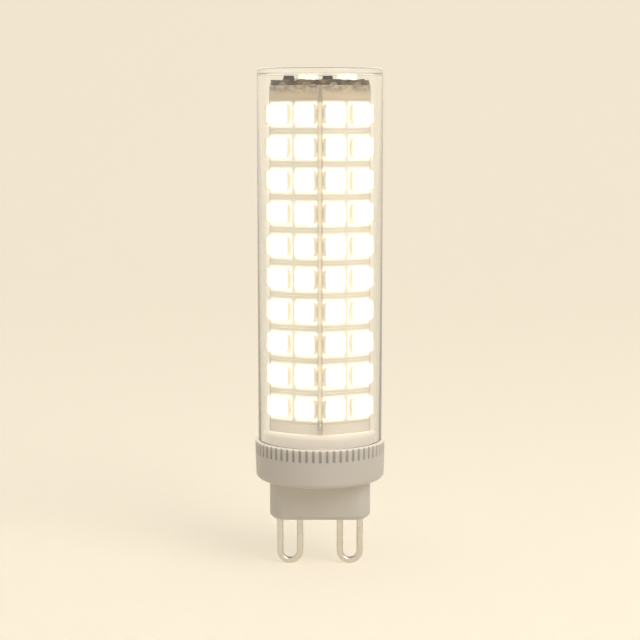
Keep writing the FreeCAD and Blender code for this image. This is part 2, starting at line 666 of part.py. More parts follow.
def smoothing_capacitor():
    """An upright can in front of the driver board, and its two leads bent back into the board."""
    radius = "Size.capacitor_diameter / 2"
    y = f"Layout.driver_front - Size.lead_clearance - {radius}"
    z = "Layout.capacitor_bottom"
    can = rounded_can(
        "SmoothingCapacitor", radius, "Size.capacitor_length", "Size.capacitor_edge_radius", y, z,
    )
    piece(can, "smoothing_capacitor")
    legs = []
    for number, side in enumerate((-1, 1), start=1):
        x = f"{side} * Size.capacitor_lead_pitch / 2"
        leg = doc.addObject("Part::MultiFuse", f"CapacitorLead{number}")
        leg.Shapes = bent_leg(f"CapacitorLeg{number}", x, y, z, True)
        legs.append(leg)
    pair = doc.addObject("Part::Compound", "CapacitorLeads")
    pair.Links = legs
    piece(pair, "capacitor_leads")


def fuse_resistor():
    """A small round resistor in front of the driver board, one piece with its two bent leads."""
    radius = "Size.fuse_diameter / 2"
    y = f"Layout.driver_front - Size.lead_clearance - {radius}"
    z = "Layout.fuse_bottom"
    barrel = rounded_can("FuseBarrel", radius, "Size.fuse_length", "Size.fuse_edge_radius", y, z)
    lower = bent_leg("FuseLowerLeg", "0", y, z, True)
    upper = bent_leg("FuseUpperLeg", "0", y, "Layout.fuse_top", False)
    whole = doc.addObject("Part::MultiFuse", "FuseResistor")
    whole.Shapes = [barrel] + lower + upper
    piece(whole, "fuse_resistor")


def bridge_rectifier():
    """A flat package on the back of the driver board."""
    package = box(
        "BridgeRectifier", "Size.rectifier_length", "Size.rectifier_height", "Size.rectifier_width",
        "-Size.rectifier_length / 2", "Layout.driver_back", "Layout.rectifier_bottom",
    )
    piece(package, "bridge_rectifier")


def chip_resistors():
    """A short ladder of chip resistors on the back of the driver board."""
    body = new_body("ChipResistors", "chip_resistors")
    outline = new_sketch(body, "ChipOutline", "XZ_Plane", "-Layout.driver_back")
    draw_rectangle(outline, "0", "Layout.lowest_chip", "Size.chip_length", "Size.chip_width")
    chip = pad(body, outline, "Chip", "Size.chip_height")
    chip.Reversed = True
    doc.recompute()
    grid(body, "ChipLadder", ((outline, ["V_Axis"]), "Size.chip_count", "Size.chip_width + Size.chip_gap"))


def leads():
    """Four straight insulated leads: two stand on the pins, and two go up to the top board."""
    input_length = "Layout.boss_top + Size.input_lead_overlap - Layout.pin_top"
    for label, side in (("live_lead", -1), ("neutral_lead", 1)):
        rod = upright_rod(
            label.title().replace("_", ""), "Layout.lead_radius", input_length,
            f"{side} * Layout.inner_leg", "0", "Layout.pin_top",
        )
        piece(rod, label)
    start = "Layout.driver_top - Size.output_lead_overlap"
    for label, side in (("positive_lead", -1), ("negative_lead", 1)):
        rod = upright_rod(
            label.title().replace("_", ""), "Layout.lead_radius", f"Layout.top_board_top - ({start})",
            f"{side} * Layout.output_lead_x", "Layout.output_lead_y", start,
        )
        piece(rod, label)


cover_tube()
base_housing()
contact_pin("pin_left", -1)
contact_pin("pin_right", 1)
for number in range(SIDES):
    led_panel(number)
    led_packages(number)
    led_phosphor(number)
top_board()
top_leds()
current_regulators()
board_joints()
seam_joints()
driver_board()
smoothing_capacitor()
fuse_resistor()
bridge_rectifier()
chip_resistors()
leads()
doc.recompute()

for thing in doc.Objects:
    if {"Invalid", "Error"} & set(thing.State):
        raise RuntimeError(f"{thing.Label} failed: {thing.State}")
for thing in pieces:
    if thing.Shape.isNull() or not thing.Shape.isValid() or not thing.Shape.Solids:
        raise RuntimeError(f"{thing.Label} has no valid solid")

os.makedirs("parts", exist_ok=True)
for thing in pieces:
    thing.Shape.exportStep(f"parts/{thing.Label}.step")
    print(thing.Label, len(thing.Shape.Solids), round(thing.Shape.Volume, 3))
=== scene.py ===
import contextlib
import math
from functools import cache

import bmesh
import bpy
from bpy.props import FloatProperty, FloatVectorProperty, IntProperty, PointerProperty
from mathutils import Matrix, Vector


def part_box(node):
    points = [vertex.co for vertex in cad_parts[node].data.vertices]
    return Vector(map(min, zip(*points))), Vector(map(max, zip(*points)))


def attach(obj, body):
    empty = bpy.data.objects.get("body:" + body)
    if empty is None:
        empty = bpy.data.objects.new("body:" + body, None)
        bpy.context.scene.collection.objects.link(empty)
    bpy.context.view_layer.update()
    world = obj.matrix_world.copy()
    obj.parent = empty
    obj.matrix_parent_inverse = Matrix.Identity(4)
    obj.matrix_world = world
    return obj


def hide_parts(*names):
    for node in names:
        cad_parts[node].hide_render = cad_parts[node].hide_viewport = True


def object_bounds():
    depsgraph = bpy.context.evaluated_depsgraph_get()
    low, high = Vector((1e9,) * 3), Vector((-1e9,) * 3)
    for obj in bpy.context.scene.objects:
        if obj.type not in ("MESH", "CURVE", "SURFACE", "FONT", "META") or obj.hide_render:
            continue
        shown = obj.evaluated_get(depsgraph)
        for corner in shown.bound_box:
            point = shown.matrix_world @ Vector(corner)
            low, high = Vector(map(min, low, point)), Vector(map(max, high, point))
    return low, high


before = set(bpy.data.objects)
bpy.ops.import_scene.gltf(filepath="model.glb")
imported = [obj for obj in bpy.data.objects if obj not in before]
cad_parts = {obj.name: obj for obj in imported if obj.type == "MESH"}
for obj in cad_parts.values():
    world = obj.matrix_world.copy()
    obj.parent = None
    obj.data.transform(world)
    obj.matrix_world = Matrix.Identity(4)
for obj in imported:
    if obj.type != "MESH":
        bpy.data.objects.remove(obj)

bl_info = {
    "name": "Corn LED bulb",
    "version": (1, 0, 0),
    "blender": (4, 5, 0),
    "location": "View3D > Sidebar > Bulb",
    "description": "Models and finishes a lit corn LED bulb round its packed solids",
    "category": "Object",
}

MM = 0.001
# Two places closer than this are one
SAME = 1e-7
# Least share of a normal along an axis for its face to point that way
ALONG = 0.9
SIDES = 5
TURN = math.tau / SIDES
# The third board faces +Y, so its box gives the sizes that all five boards share
SQUARE_BOARD = 3
# Height of a part's tinned feet or legs, and the chamfer on their edges
TERMINAL_HEIGHT = 0.12 * MM
TERMINAL_EDGE = 0.03 * MM

CAD_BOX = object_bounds()
TUBE_LOW, TUBE_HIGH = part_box("cover_tube")
BASE_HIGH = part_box("base_housing")[1]
BOARD_LOW, BOARD_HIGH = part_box(f"led_panel_{SQUARE_BOARD}")
LEDS_LOW, LEDS_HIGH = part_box(f"led_packages_{SQUARE_BOARD}")
CROWN_LOW, CROWN_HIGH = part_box("top_board")
CROWN_LEDS_LOW, CROWN_LEDS_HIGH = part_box("top_led_packages")
CHIPS_LOW, CHIPS_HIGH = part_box("current_regulators")
DRIVER_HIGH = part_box("driver_board")[1]
SEAMS_LOW, SEAMS_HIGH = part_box("seam_joints")
LED_HEIGHT = LEDS_HIGH.y - LEDS_LOW.y
CROWN_ROW = (CROWN_LEDS_LOW.y + CROWN_LEDS_HIGH.y) / 2


def length(name, description, millimetres):
    """A size that a user can change, kept in metres."""
    return FloatProperty(
        name=name, description=description, default=millimetres * MM, min=0, precision=5,
        unit="LENGTH",
    )


def colour(name, description, default):
    """A linear colour that a user can change."""
    return FloatVectorProperty(
        name=name, description=description, default=default, min=0, max=1, size=3, subtype="COLOR",
    )


def strength(name, description, default):
    """A light's or an emission's strength."""
    return FloatProperty(name=name, description=description, default=default, min=0)


class CoverSettings(bpy.types.PropertyGroup):
    segments: IntProperty(name="Segments", description="Faces round the tube", default=144, min=12)
    wall: length("Wall", "Thickness of the tube's wall", 1.0)
    lid: length("Lid", "Thickness of the closed end", 0.85)
    rim: length("Rim", "Round on the closed end's outer edge", 0.4)
    fillet: length("Fillet", "Round inside the closed end", 0.3)
    lip: length("Lip", "Round on the open end's edges", 0.12)
    tint: colour("Tint", "Colour of the clear plastic", (0.985, 0.98, 0.965))
    # Painted glow: the edge and rim glows are emission of the clear plastic, standing in for the LEDs'
    # light caught in it
    edge_glow: strength("Edge glow", "Light of the LEDs caught in the plastic", 0.015)
    rim_glow: strength("Rim glow", "Light of the LEDs that leaves the closed end's rim", 0.42)


class BaseSettings(bpy.types.PropertyGroup):
    ribs: IntProperty(name="Ribs", description="Ribs round the collar", default=60, min=3)
    rib_steps: IntProperty(name="Rib steps", description="Points round one rib", default=8, min=4)
    rib_height: length("Rib height", "Length of a rib below the collar's top", 2.0)
    groove: length("Groove", "Depth of the groove between two ribs", 0.2)
    draft: length("Draft", "Radius lost towards the collar's lower edge", 0.12)
    round: length("Round", "Round on the collar's lower edge", 0.7)
    collar_low: length("Collar underside", "Height of the collar's lower face", 6.0)
    spigot_gap: length("Spigot gap", "Spigot to the tube's bore", 0.08)
    spigot_edge: length("Spigot edge", "Round on the spigot's upper edge", 0.25)
    plug_length: length("Plug length", "Plug along X", 15.0)
    plug_width: length("Plug width", "Plug along Y", 8.2)
    plug_corner: length("Plug corner", "Upright corners of the plug", 2.6)
    plug_lead_in: length("Plug lead-in", "Chamfer round the plug's lower face", 0.6)
    white: colour("White", "Colour of the moulding", (0.85, 0.815, 0.76))
    # The lit colour and strength paint the LEDs' light on the spigot and the collar's top as a glow of
    # the white plastic
    lit: colour("Lit", "Colour of the LEDs' light in the white plastic", (1.0, 0.86, 0.70))
    lit_strength: strength("Lit strength", "Light from the LEDs in the spigot's white plastic", 0.4)


class LedSettings(bpy.types.PropertyGroup):
    package_length: length("Length", "Package along the board's width", 3.5)
    package_width: length("Width", "Package along the bulb", 2.8)
    rows: IntProperty(name="Rows", description="Rows of packages on a board", default=10, min=2)
    corner: length("Corner", "Round on the package's corners", 0.35)
    rim: length("Rim", "Package wall round its window", 0.25)
    cup: length("Cup", "Depth of the window", 0.25)
    glow: colour("Glow", "Colour of the lit phosphor", (1.0, 0.95, 0.84))
    glow_strength: strength("Glow strength", "Light from the phosphor", 8.0)
    # Painted light: the spill and wall strengths make the white package glow with the light inside it,
    # stronger on the rim and cup than on the walls
    spill: colour("Spill", "Colour of the light in the white package", (0.98, 0.92, 0.70))
    spill_strength: strength("Spill strength", "Light from the white package's rim", 0.75)
    wall_strength: strength("Wall strength", "Light through the white package's walls", 0.16)


class BoardSettings(bpy.types.PropertyGroup):
    edge: length("Edge", "Chamfer on the boards' edges", 0.04)
    mask: colour("Mask", "Colour of the solder mask", (0.80, 0.76, 0.69))
    laminate: colour("Laminate", "Colour of a sawn edge", (0.66, 0.605, 0.485))
    crown_edge: colour("Crown edge", "Colour of the top board's broken edge", (0.19, 0.125, 0.06))
    flux: colour("Flux", "Colour of the stains by the solder joints", (0.20, 0.135, 0.075))
    film: colour("Film", "Colour of the mask under a film of flux", (0.755, 0.62, 0.45))
    # Painted light: the halo and field strengths are emission of the mask, standing in for the
    # packages' light on the boards
    halo: length("Halo", "Reach of the light round each package", 0.62)
    halo_strength: strength("Halo strength", "Light on the board beside a package", 0.75)
    field_strength: strength("Field strength", "Light on the board between the packages", 0.18)
    chip_width: length("Chip width", "Width of a regulator on the top board", 1.6)
    joint_pitch: length("Joint pitch", "Between the two solder joints of a board", 4.2)


class StageSettings(bpy.types.PropertyGroup):
    floor: colour("Floor", "Colour of the floor and the backdrop", (0.88, 0.81, 0.68))
    lift: strength("Lift", "Share of the floor's colour that the camera sees in shade", 0.52)
    world: strength("World", "Even light from all sides", 0.42)
    world_seen: strength("World seen", "Brightness of the surroundings where they are seen", 0.9)
    key: strength("Key", "Power of the soft light at the upper right, in watts", 0.7)
    distance: length("Distance", "Camera to the bulb's axis", 251.9)
    eye: length("Eye", "Camera above the plug's lower face", 61.8)
    lens: FloatProperty(name="Lens", description="Focal length in millimetres", default=96.0, min=1)


class BulbSettings(bpy.types.PropertyGroup):
    cover: PointerProperty(type=CoverSettings)
    base: PointerProperty(type=BaseSettings)
    led: PointerProperty(type=LedSettings)
    board: PointerProperty(type=BoardSettings)
    stage: PointerProperty(type=StageSettings)


def settings():
    return bpy.context.scene.corn_bulb


def only(piece):
    """Makes a piece the one selected and active object."""
    bpy.ops.object.select_all(action="DESELECT")
    piece.select_set(True)
    bpy.context.view_layer.objects.active = piece


def named(piece, name):
    """Names a piece and its mesh."""
    piece.name = name
    piece.data.name = name
    return piece


def settle(piece):
    """Moves a piece's place, turn and scale into its mesh."""
    only(piece)
    bpy.ops.object.transform_apply(location=True, rotation=True, scale=True)


def begin(name, add, **values):
    """Adds a primitive as the start of a piece, with its size and place in its mesh."""
    bpy.ops.object.select_all(action="DESELECT")
    add(**values)
    piece = named(bpy.context.object, name)
    settle(piece)
    return piece


def block(name, low, high):
    """A box between two corners, as a start."""
    middle = [(a + b) / 2 for a, b in zip(low, high)]
    extent = [b - a for a, b in zip(low, high)]
    return begin(name, bpy.ops.mesh.primitive_cube_add, size=1, location=middle, scale=extent)


@contextlib.contextmanager
def edit(piece):
    """Edit mode on one piece."""
    only(piece)
    bpy.ops.object.mode_set(mode="EDIT")
    yield
    bpy.ops.object.mode_set(mode="OBJECT")


def pick(kind, test):
    """Selects the vertices, edges or faces in edit mode that pass a test."""
    bpy.ops.mesh.select_mode(type=kind)
    bpy.ops.mesh.select_all(action="DESELECT")
    mesh = bpy.context.object.data
    form = bmesh.from_edit_mesh(mesh)
    items = {"VERT": form.verts, "EDGE": form.edges, "FACE": form.faces}[kind]
    chosen = [item for item in items if test(item)]
    if not chosen:
        raise RuntimeError(f"{bpy.context.object.name}: nothing to select")
    for item in chosen:
        item.select_set(True)
    form.select_flush_mode()
    bmesh.update_edit_mesh(mesh)


def pick_all():
    """Selects the whole piece in edit mode."""
    bpy.ops.mesh.select_all(action="SELECT")


def faces_along(axis, sign=1):
    """A test for faces that point along an axis."""
    return lambda face: face.normal[axis] * sign > ALONG


def upright(edge):
    """A test for edges that stand along Z."""
    a, b = (vertex.co for vertex in edge.verts)
    return (a.xy - b.xy).length < SAME


def bevel(offset, segments=1):
    """Bevels the selected edges."""
    bpy.ops.mesh.bevel(offset=offset, offset_type="OFFSET", segments=segments, affect="EDGES")


def extrude(rise):
    """Extrudes what is selected along Z."""
    bpy.ops.mesh.extrude_region_move(TRANSFORM_OT_translate={"value": (0, 0, rise)})


def widen(x, y):
    """Scales what is selected from the axis."""
    bpy.ops.transform.resize(value=(x, y, 1), center_override=(0, 0, 0))


def ring(radius, z):
    """Extrudes the selected level ring to another radius and height."""
    form = bmesh.from_edit_mesh(bpy.context.object.data)
    vertex = next(v for v in form.verts if v.select)
    ratio = radius / vertex.co.xy.length
    extrude(z - vertex.co.z)
    widen(ratio, ratio)


def turned(name, segments, profile):
    """A closed turned solid: a filled circle, extruded ring by ring along a profile."""
    radius, z = profile[0]
    body = begin(
        name, bpy.ops.mesh.primitive_circle_add, vertices=segments, radius=radius, location=(0, 0, z),
        fill_type="NGON",
    )
    with edit(body):
        pick("EDGE", lambda edge: edge.is_boundary)
        for radius, z in profile[1:]:
            ring(radius, z)
        bpy.ops.mesh.edge_face_add()
    close(body)
    return body


def arc(centre, radius, start, end, steps):
    """Points of a round in a profile of radius and height, from one angle in degrees to another."""
    points = []
    for step in range(steps + 1):
        angle = math.radians(start + (end - start) * step / steps)
        points.append((centre[0] + radius * math.cos(angle), centre[1] + radius * math.sin(angle)))
    return points


def close(piece):
    """Merges doubles and turns the faces outwards."""
    with edit(piece):
        pick_all()
        bpy.ops.mesh.remove_doubles(threshold=SAME)
        bpy.ops.mesh.normals_make_consistent(inside=False)


def smooth(piece, degrees=35):
    """Shades a piece smooth, except across edges sharper than an angle."""
    only(piece)
    bpy.ops.object.shade_smooth_by_angle(angle=math.radians(degrees))


def modify(piece, kind, **values):
    """Adds a modifier, sets it and applies it."""
    only(piece)
    bpy.ops.object.modifier_add(type=kind)
    modifier = piece.modifiers[-1]
    for name, value in values.items():
        setattr(modifier, name, value)
    bpy.ops.object.modifier_apply(modifier=modifier.name)


def join(name, *parts):
    """Joins parts into the first of them."""
    bpy.ops.object.select_all(action="DESELECT")
    for part in parts:
        part.select_set(True)
    bpy.context.view_layer.objects.active = parts[0]
    bpy.ops.object.join()
    return named(bpy.context.object, name)


def copy_of(piece, name, angle=0.0, move=(0, 0, 0)):
    """A copy with its own mesh, moved and turned about the bulb's axis."""
    only(piece)
    bpy.ops.object.duplicate(linked=False)
    twin = named(bpy.context.object, name)
    twin.location = move
    twin.rotation_euler.z = angle
    settle(twin)
    return twin


def round_the_column(piece, name):
    """Copies a piece modelled on the square board to all five boards, and names them by board."""
    twins = [
        copy_of(piece, f"{name}_{board}", (board - SQUARE_BOARD) * TURN)
        for board in range(1, SIDES + 1)
    ]
    bpy.data.objects.remove(piece)
    return twins


def coat(piece, *finishes):
    """Adds finishes to a piece."""
    for finish in finishes:
        piece.data.materials.append(finish)


def assign(index):
    """Gives the selected faces one of the piece's finishes."""
    bpy.context.object.active_material_index = index
    bpy.ops.object.material_slot_assign()


def dress(piece, slot, *nodes):
    """Gives a piece its place in the frame and hides the CAD nodes that it stands for; its slot is not
    used.
    """
    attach(piece, "root")
    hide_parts(*nodes)


class Nodes:
    """Adds nodes to a tree and links them."""

    def __init__(self, tree):
        self.tree = tree

    def node(self, kind, options=None, **links):
        """A node with its options set, and its inputs set or linked by name."""
        made = self.tree.nodes.new(kind)
        for name, value in (options or {}).items():
            setattr(made, name, value)
        for name, value in links.items():
            self.set(made.inputs[name.replace("_", " ")], value)
        return made

    def set(self, socket, value):
        """Links a socket to another, or sets its value."""
        if isinstance(value, bpy.types.NodeSocket):
            self.tree.links.new(value, socket)
        else:
            socket.default_value = value

    def math(self, operation, first, *others):
        """One operation on a value, or on a value and others in turn."""
        for other in others or (0.0,):
            made = self.node("ShaderNodeMath", {"operation": operation})
            self.set(made.inputs[0], first)
            self.set(made.inputs[1], other)
            first = made.outputs[0]
        return first

    def times(self, *values):
        return self.math("MULTIPLY", *values)

    def plus(self, *values):
        return self.math("ADD", *values)

    def minus(self, first, second):
        return self.math("SUBTRACT", first, second)

    def apart(self, first, second):
        """The distance between two values."""
        return self.math("ABSOLUTE", self.minus(first, second))

    def hypot(self, *sides):
        """The long side of a right-angled triangle."""
        return self.math("SQRT", self.plus(*[self.math("POWER", side, 2.0) for side in sides]))

    def spread(self, value, low, high, from_low=0.3, from_high=0.7, kind="LINEAR"):
        """Maps a value to a range."""
        made = self.node(
            "ShaderNodeMapRange", {"interpolation_type": kind}, Value=value,
            From_Min=from_low, From_Max=from_high, To_Min=low, To_Max=high,
        )
        return made.outputs["Result"]

    def seen(self):
        """1 for what the camera sees, also in a reflection or through clear plastic."""
        rays = self.node("ShaderNodeLightPath").outputs
        kinds = ("Is Camera Ray", "Is Glossy Ray", "Is Transmission Ray")
        return self.math("MAXIMUM", *[rays[kind] for kind in kinds])


class Finish(Nodes):
    """A procedural material round one shader."""

    def __init__(self, name, **sockets):
        self.material = bpy.data.materials.new(name)
        self.material.use_nodes = True
        super().__init__(self.material.node_tree)
        self.shader = self.tree.nodes["Principled BSDF"]
        self.give(**sockets)

    def give(self, **sockets):
        """Sets or links the shader's inputs by name."""
        for socket, value in sockets.items():
            self.set(self.shader.inputs[socket.replace("_", " ")], value)

    def place(self, scale=(1, 1, 1)):
        """The piece's own coordinates, stretched."""
        spot = self.node("ShaderNodeTexCoord").outputs["Object"]
        return self.node("ShaderNodeMapping", Vector=spot, Scale=scale).outputs["Vector"]

    def axes(self, place):
        """A place's coordinates one by one, as X, Y and Z."""
        return self.node("ShaderNodeSeparateXYZ", Vector=place).outputs

    def noise(self, grain, detail=3.0, stretch=(1, 1, 1)):
        """Soft noise whose blotches are about one grain across."""
        made = self.node(
            "ShaderNodeTexNoise", Vector=self.place(stretch), Scale=1 / grain, Detail=detail,
        )
        return made.outputs["Fac"]

    def blend(self, factor, first, second):
        """A colour between two colours."""
        made = self.node("ShaderNodeMix", {"data_type": "RGBA"}, Factor=factor)
        self.set(made.inputs[6], first)
        self.set(made.inputs[7], second)
        return made.outputs[2]

    def base(self, value):
        self.give(Base_Color=value)

    def rough(self, value, low, high):
        """Maps a value to a range of roughness."""
        self.give(Roughness=self.spread(value, low, high))

    def bump(self, height, depth, share=1.0):
        """Raises and sinks the surface by up to a depth."""
        made = self.node("ShaderNodeBump", Height=height, Strength=share, Distance=depth)
        self.give(Normal=made.outputs["Normal"])


def tone(shade, factor=1.0):
    """A colour made lighter or darker."""
    return (*[min(1.0, channel * factor) for channel in shade], 1.0)


def mottled(name, grain, detail, shades, roughness, depth, share, **sockets):
    """A finish whose colour, gloss and relief follow one noise."""
    look = Finish(name, **sockets)
    mottle = look.noise(grain, detail)
    look.base(look.blend(mottle, *shades))
    look.rough(mottle, *roughness)
    look.bump(mottle, depth, share)
    return look.material


@cache
def clear_plastic():
    """Clear plastic with faint ripples, a little haze, and a painted glow for some of the LEDs' light
    caught in it.
    """
    cover = settings().cover
    look = Finish(
        "clear_plastic", Base_Color=tone(cover.tint), Transmission_Weight=1.0, IOR=1.49,
        Emission_Color=tone(settings().led.spill),
    )
    spot = look.axes(look.place())
    # Painted light: the wall glows at the closed end's rim, and the whole tube glows faintly
    bore, top = TUBE_HIGH.x - cover.wall, TUBE_HIGH.z
    past_bore = look.spread(look.hypot(spot["X"], spot["Y"]), 0.0, 1.0, bore - 0.3 * MM, bore)
    at_top = look.spread(spot["Z"], 0.0, cover.rim_glow, top - 0.35 * MM, top - 0.1 * MM)
    look.give(Emission_Strength=look.plus(look.times(past_bore, at_top), cover.edge_glow))
    look.rough(look.noise(6 * MM, 4.0), 0.0, 0.05)
    look.bump(look.noise(9 * MM, 1.0, (1, 1, 0.3)), 0.02 * MM, 0.4)
    return look.material


@cache
def moulded_white():
    """White moulding: blotches, a fine grain, dusty grooves with painted shade between the ribs, and
    painted light from the LEDs above.
    """
    base = settings().base
    look = Finish("moulded_white", Emission_Color=tone(base.lit), IOR=1.5)
    blotches = look.blend(look.noise(5 * MM, 4.0), tone(base.white, 0.95), tone(base.white, 1.03))
    spot = look.axes(look.place())
    height, radius = spot["Z"], look.hypot(spot["X"], spot["Y"])
    top, seat = TUBE_LOW.z, BOARD_LOW.z
    groove_foot = top - base.rib_height

    # Painted shade in dusty grooves: the grooves between the ribs are darkened towards a grey
    hollow = look.spread(radius, 1.0, 0.0, BASE_HIGH.x - base.groove, BASE_HIGH.x - base.groove * 0.3)
    beyond_tube = look.spread(radius, 0.0, 1.0, TUBE_HIGH.x, TUBE_HIGH.x + 0.05 * MM)
    among_ribs = look.spread(height, 0.0, 1.0, groove_foot, groove_foot + 0.2 * MM)
    dusty_shade = look.times(hollow, beyond_tube, among_ribs, 0.7)
    look.base(look.blend(dusty_shade, blotches, tone(base.white, 0.42)))
    look.rough(look.noise(1.2 * MM, 2.0), 0.34, 0.5)
    look.bump(look.noise(0.35 * MM, 2.0), 0.01 * MM, 0.5)

    # Painted light: the LEDs' light on the collar's top and on the spigot's upper edge is an emission
    # of the white plastic
    rise = look.spread(height, 0.1, 0.33, top - 0.5 * MM, top, "SMOOTHSTEP")
    crest = look.spread(height, 0.0, 0.5, seat - 0.85 * MM, seat - 0.35 * MM, "SMOOTHSTEP")
    step = look.times(beyond_tube, look.spread(height, 0.0, 1.1, top - 0.2 * MM, top))
    above_ribs = look.spread(height, 0.0, base.lit_strength, top - 1.0 * MM, top)
    look.give(Emission_Strength=look.times(look.plus(rise, crest, step), above_ribs))
    return look.material


@cache
def nickel_wire():
    """Plated wire with fine lines along its length."""
    look = Finish("nickel_wire", Metallic=1.0)
    lines = look.noise(0.12 * MM, 3.0, (1, 1, 0.05))
    look.base(look.blend(lines, (0.60, 0.57, 0.51, 1), (0.78, 0.75, 0.69, 1)))
    look.rough(look.noise(1.5 * MM), 0.2, 0.38)
    look.bump(lines, 0.006 * MM, 0.6)
    return look.material


def led_pitches():
    """The distances between LED columns and between LED rows on a board."""
    led = settings().led
    column = LEDS_HIGH.x - LEDS_LOW.x - led.package_length
    row = (LEDS_HIGH.z - LEDS_LOW.z - led.package_width) / (led.rows - 1)
    return column, row


def crown_columns():
    """The places along X of the top board's two LEDs."""
    half = settings().led.package_width / 2
    return CROWN_LEDS_LOW.x + half, CROWN_LEDS_HIGH.x - half


def halo_round(look, beside, above):
    """The share of a package's painted pool of light on its board, by the distances past its ends and
    its sides.
    """
    # The painted light reaches less far past a package's ends
    past_ends = look.times(look.math("MAXIMUM", beside, 0.0), 1.4)
    away = look.hypot(past_ends, look.math("MAXIMUM", above, 0.0))
    return look.spread(away, 1.0, 0.0, 0.1 * MM, settings().board.halo, "SMOOTHSTEP")


def board_grid(look):
    """A board's own grid: its coordinates, and the painted light beside its packages and between them.
    """
    led = settings().led
    column, row = led_pitches()
    half, last_row = led.package_width / 2, led.rows - 1.0
    spot = look.axes(look.node("ShaderNodeUVMap").outputs["UV"])
    across, up = spot["X"], spot["Y"]
    inside = look.math("MINIMUM", look.math("MAXIMUM", up, 0.0), last_row)
    column_share = look.apart(look.math("FRACT", across), 0.5)
    row_share = look.apart(up, look.math("ROUND", inside))
    beside = look.minus(look.times(column_share, column), led.package_length / 2)
    above = look.minus(look.times(row_share, row), half)
    past_top = look.times(look.minus(up, last_row), row)
    past_foot = look.times(up, -row)
    between = look.times(*[
        look.spread(past, 1.0, left, half + 0.1 * MM, half + 0.5 * MM, "SMOOTHSTEP")
        for past, left in ((past_top, 0.0), (past_foot, 0.4))
    ])
    return across, up, row_share, halo_round(look, beside, above), between


def spill_on(look, near, near_strength, between):
    """Paints the light that the packages spill on a board, as an emission of the board."""
    field = look.times(between, settings().board.field_strength)
    look.give(Emission_Strength=look.plus(look.times(near, near_strength), field))


def copper_under(look, gap):
    """Copper under a mask, by the distance from the middle of a gap in it."""
    return look.spread(gap, 0.0, 1.0, 0.08 * MM, 0.16 * MM, "SMOOTHSTEP")


@cache
def white_mask():
    """White solder mask: copper edges, tinned pads, flux at the upper end, painted light from the
    packages.
    """
    board, led = settings().board, settings().led
    column, row = led_pitches()
    look = Finish("white_mask", Emission_Color=tone(led.spill), IOR=1.5)
    across, up, row_share, near, between = board_grid(look)
    spill_on(look, near, board.halo_strength, between)

    copper = copper_under(look, look.times(look.apart(row_share, 0.46), row))
    blotches = look.blend(look.noise(3 * MM, 4.0), tone(board.mask, 0.93), tone(board.mask, 1.04))
    printed = look.blend(copper, tone(board.mask, 0.86), blotches)

    end = (BOARD_HIGH.z - LEDS_LOW.z - led.package_width / 2) / row
    last_led = led.rows - 1 + (led.package_width / 2 + 0.1 * MM) / row

    def under_end(distance):
        """A place below the board's upper end, counted in rows."""
        return end - distance / row

    from_middle = look.math("ABSOLUTE", look.times(across, column))
    from_joint = look.apart(from_middle, board.joint_pitch / 2)
    pad_across = look.spread(from_joint, 1.0, 0.0, 0.8 * MM, 0.86 * MM)
    pad_up = look.spread(up, 0.0, 1.0, under_end(0.9 * MM), under_end(0.85 * MM))
    pad = look.times(pad_across, pad_up)
    tinned = look.blend(look.times(pad, 0.6), printed, (0.55, 0.52, 0.47, 1))
    film = look.spread(up, 0.0, 0.9, last_led, under_end(1.8 * MM))
    near_end = look.spread(up, 0.0, 1.0, under_end(1.5 * MM), end, "SMOOTHSTEP")
    patches = look.spread(look.noise(1.1 * MM, 4.0, (1, 1, 2)), 0.2, 1.0, 0.36, 0.6, "SMOOTHSTEP")
    stain = look.times(near_end, patches, 0.8)
    look.base(look.blend(stain, look.blend(film, tinned, tone(board.film)), tone(board.flux)))
    look.rough(look.noise(0.8 * MM), 0.32, 0.5)
    look.bump(look.plus(copper, pad), 0.03 * MM, 0.8)
    return look.material


@cache
def sawn_laminate():
    """A glass-fibre board's cut edge: tan, with short pale fibres, and painted light from the packages
    beside it.
    """
    board = settings().board
    look = Finish("sawn_laminate", Emission_Color=tone(board.laminate, 1.4))
    _, _, _, near, between = board_grid(look)
    spot = look.axes(look.place())
    inner, outer = (math.hypot(BOARD_HIGH.x, y) for y in (BOARD_LOW.y, BOARD_HIGH.y))
    # Painted light between two boards' edges, most of it deep in the seam, where it lifts the seam's
    # shade
    depth = look.spread(look.hypot(spot["X"], spot["Y"]), 1.9, 0.45, inner, outer)
    spill_on(look, near, board.halo_strength * 0.15, look.times(between, depth))
    fibres = look.noise(0.25 * MM, 4.0, (1, 1, 0.25))
    look.base(look.blend(fibres, tone(board.laminate, 0.8), tone(board.laminate, 1.2)))
    look.rough(fibres, 0.6, 0.85)
    look.bump(fibres, 0.03 * MM, 0.8)
    return look.material


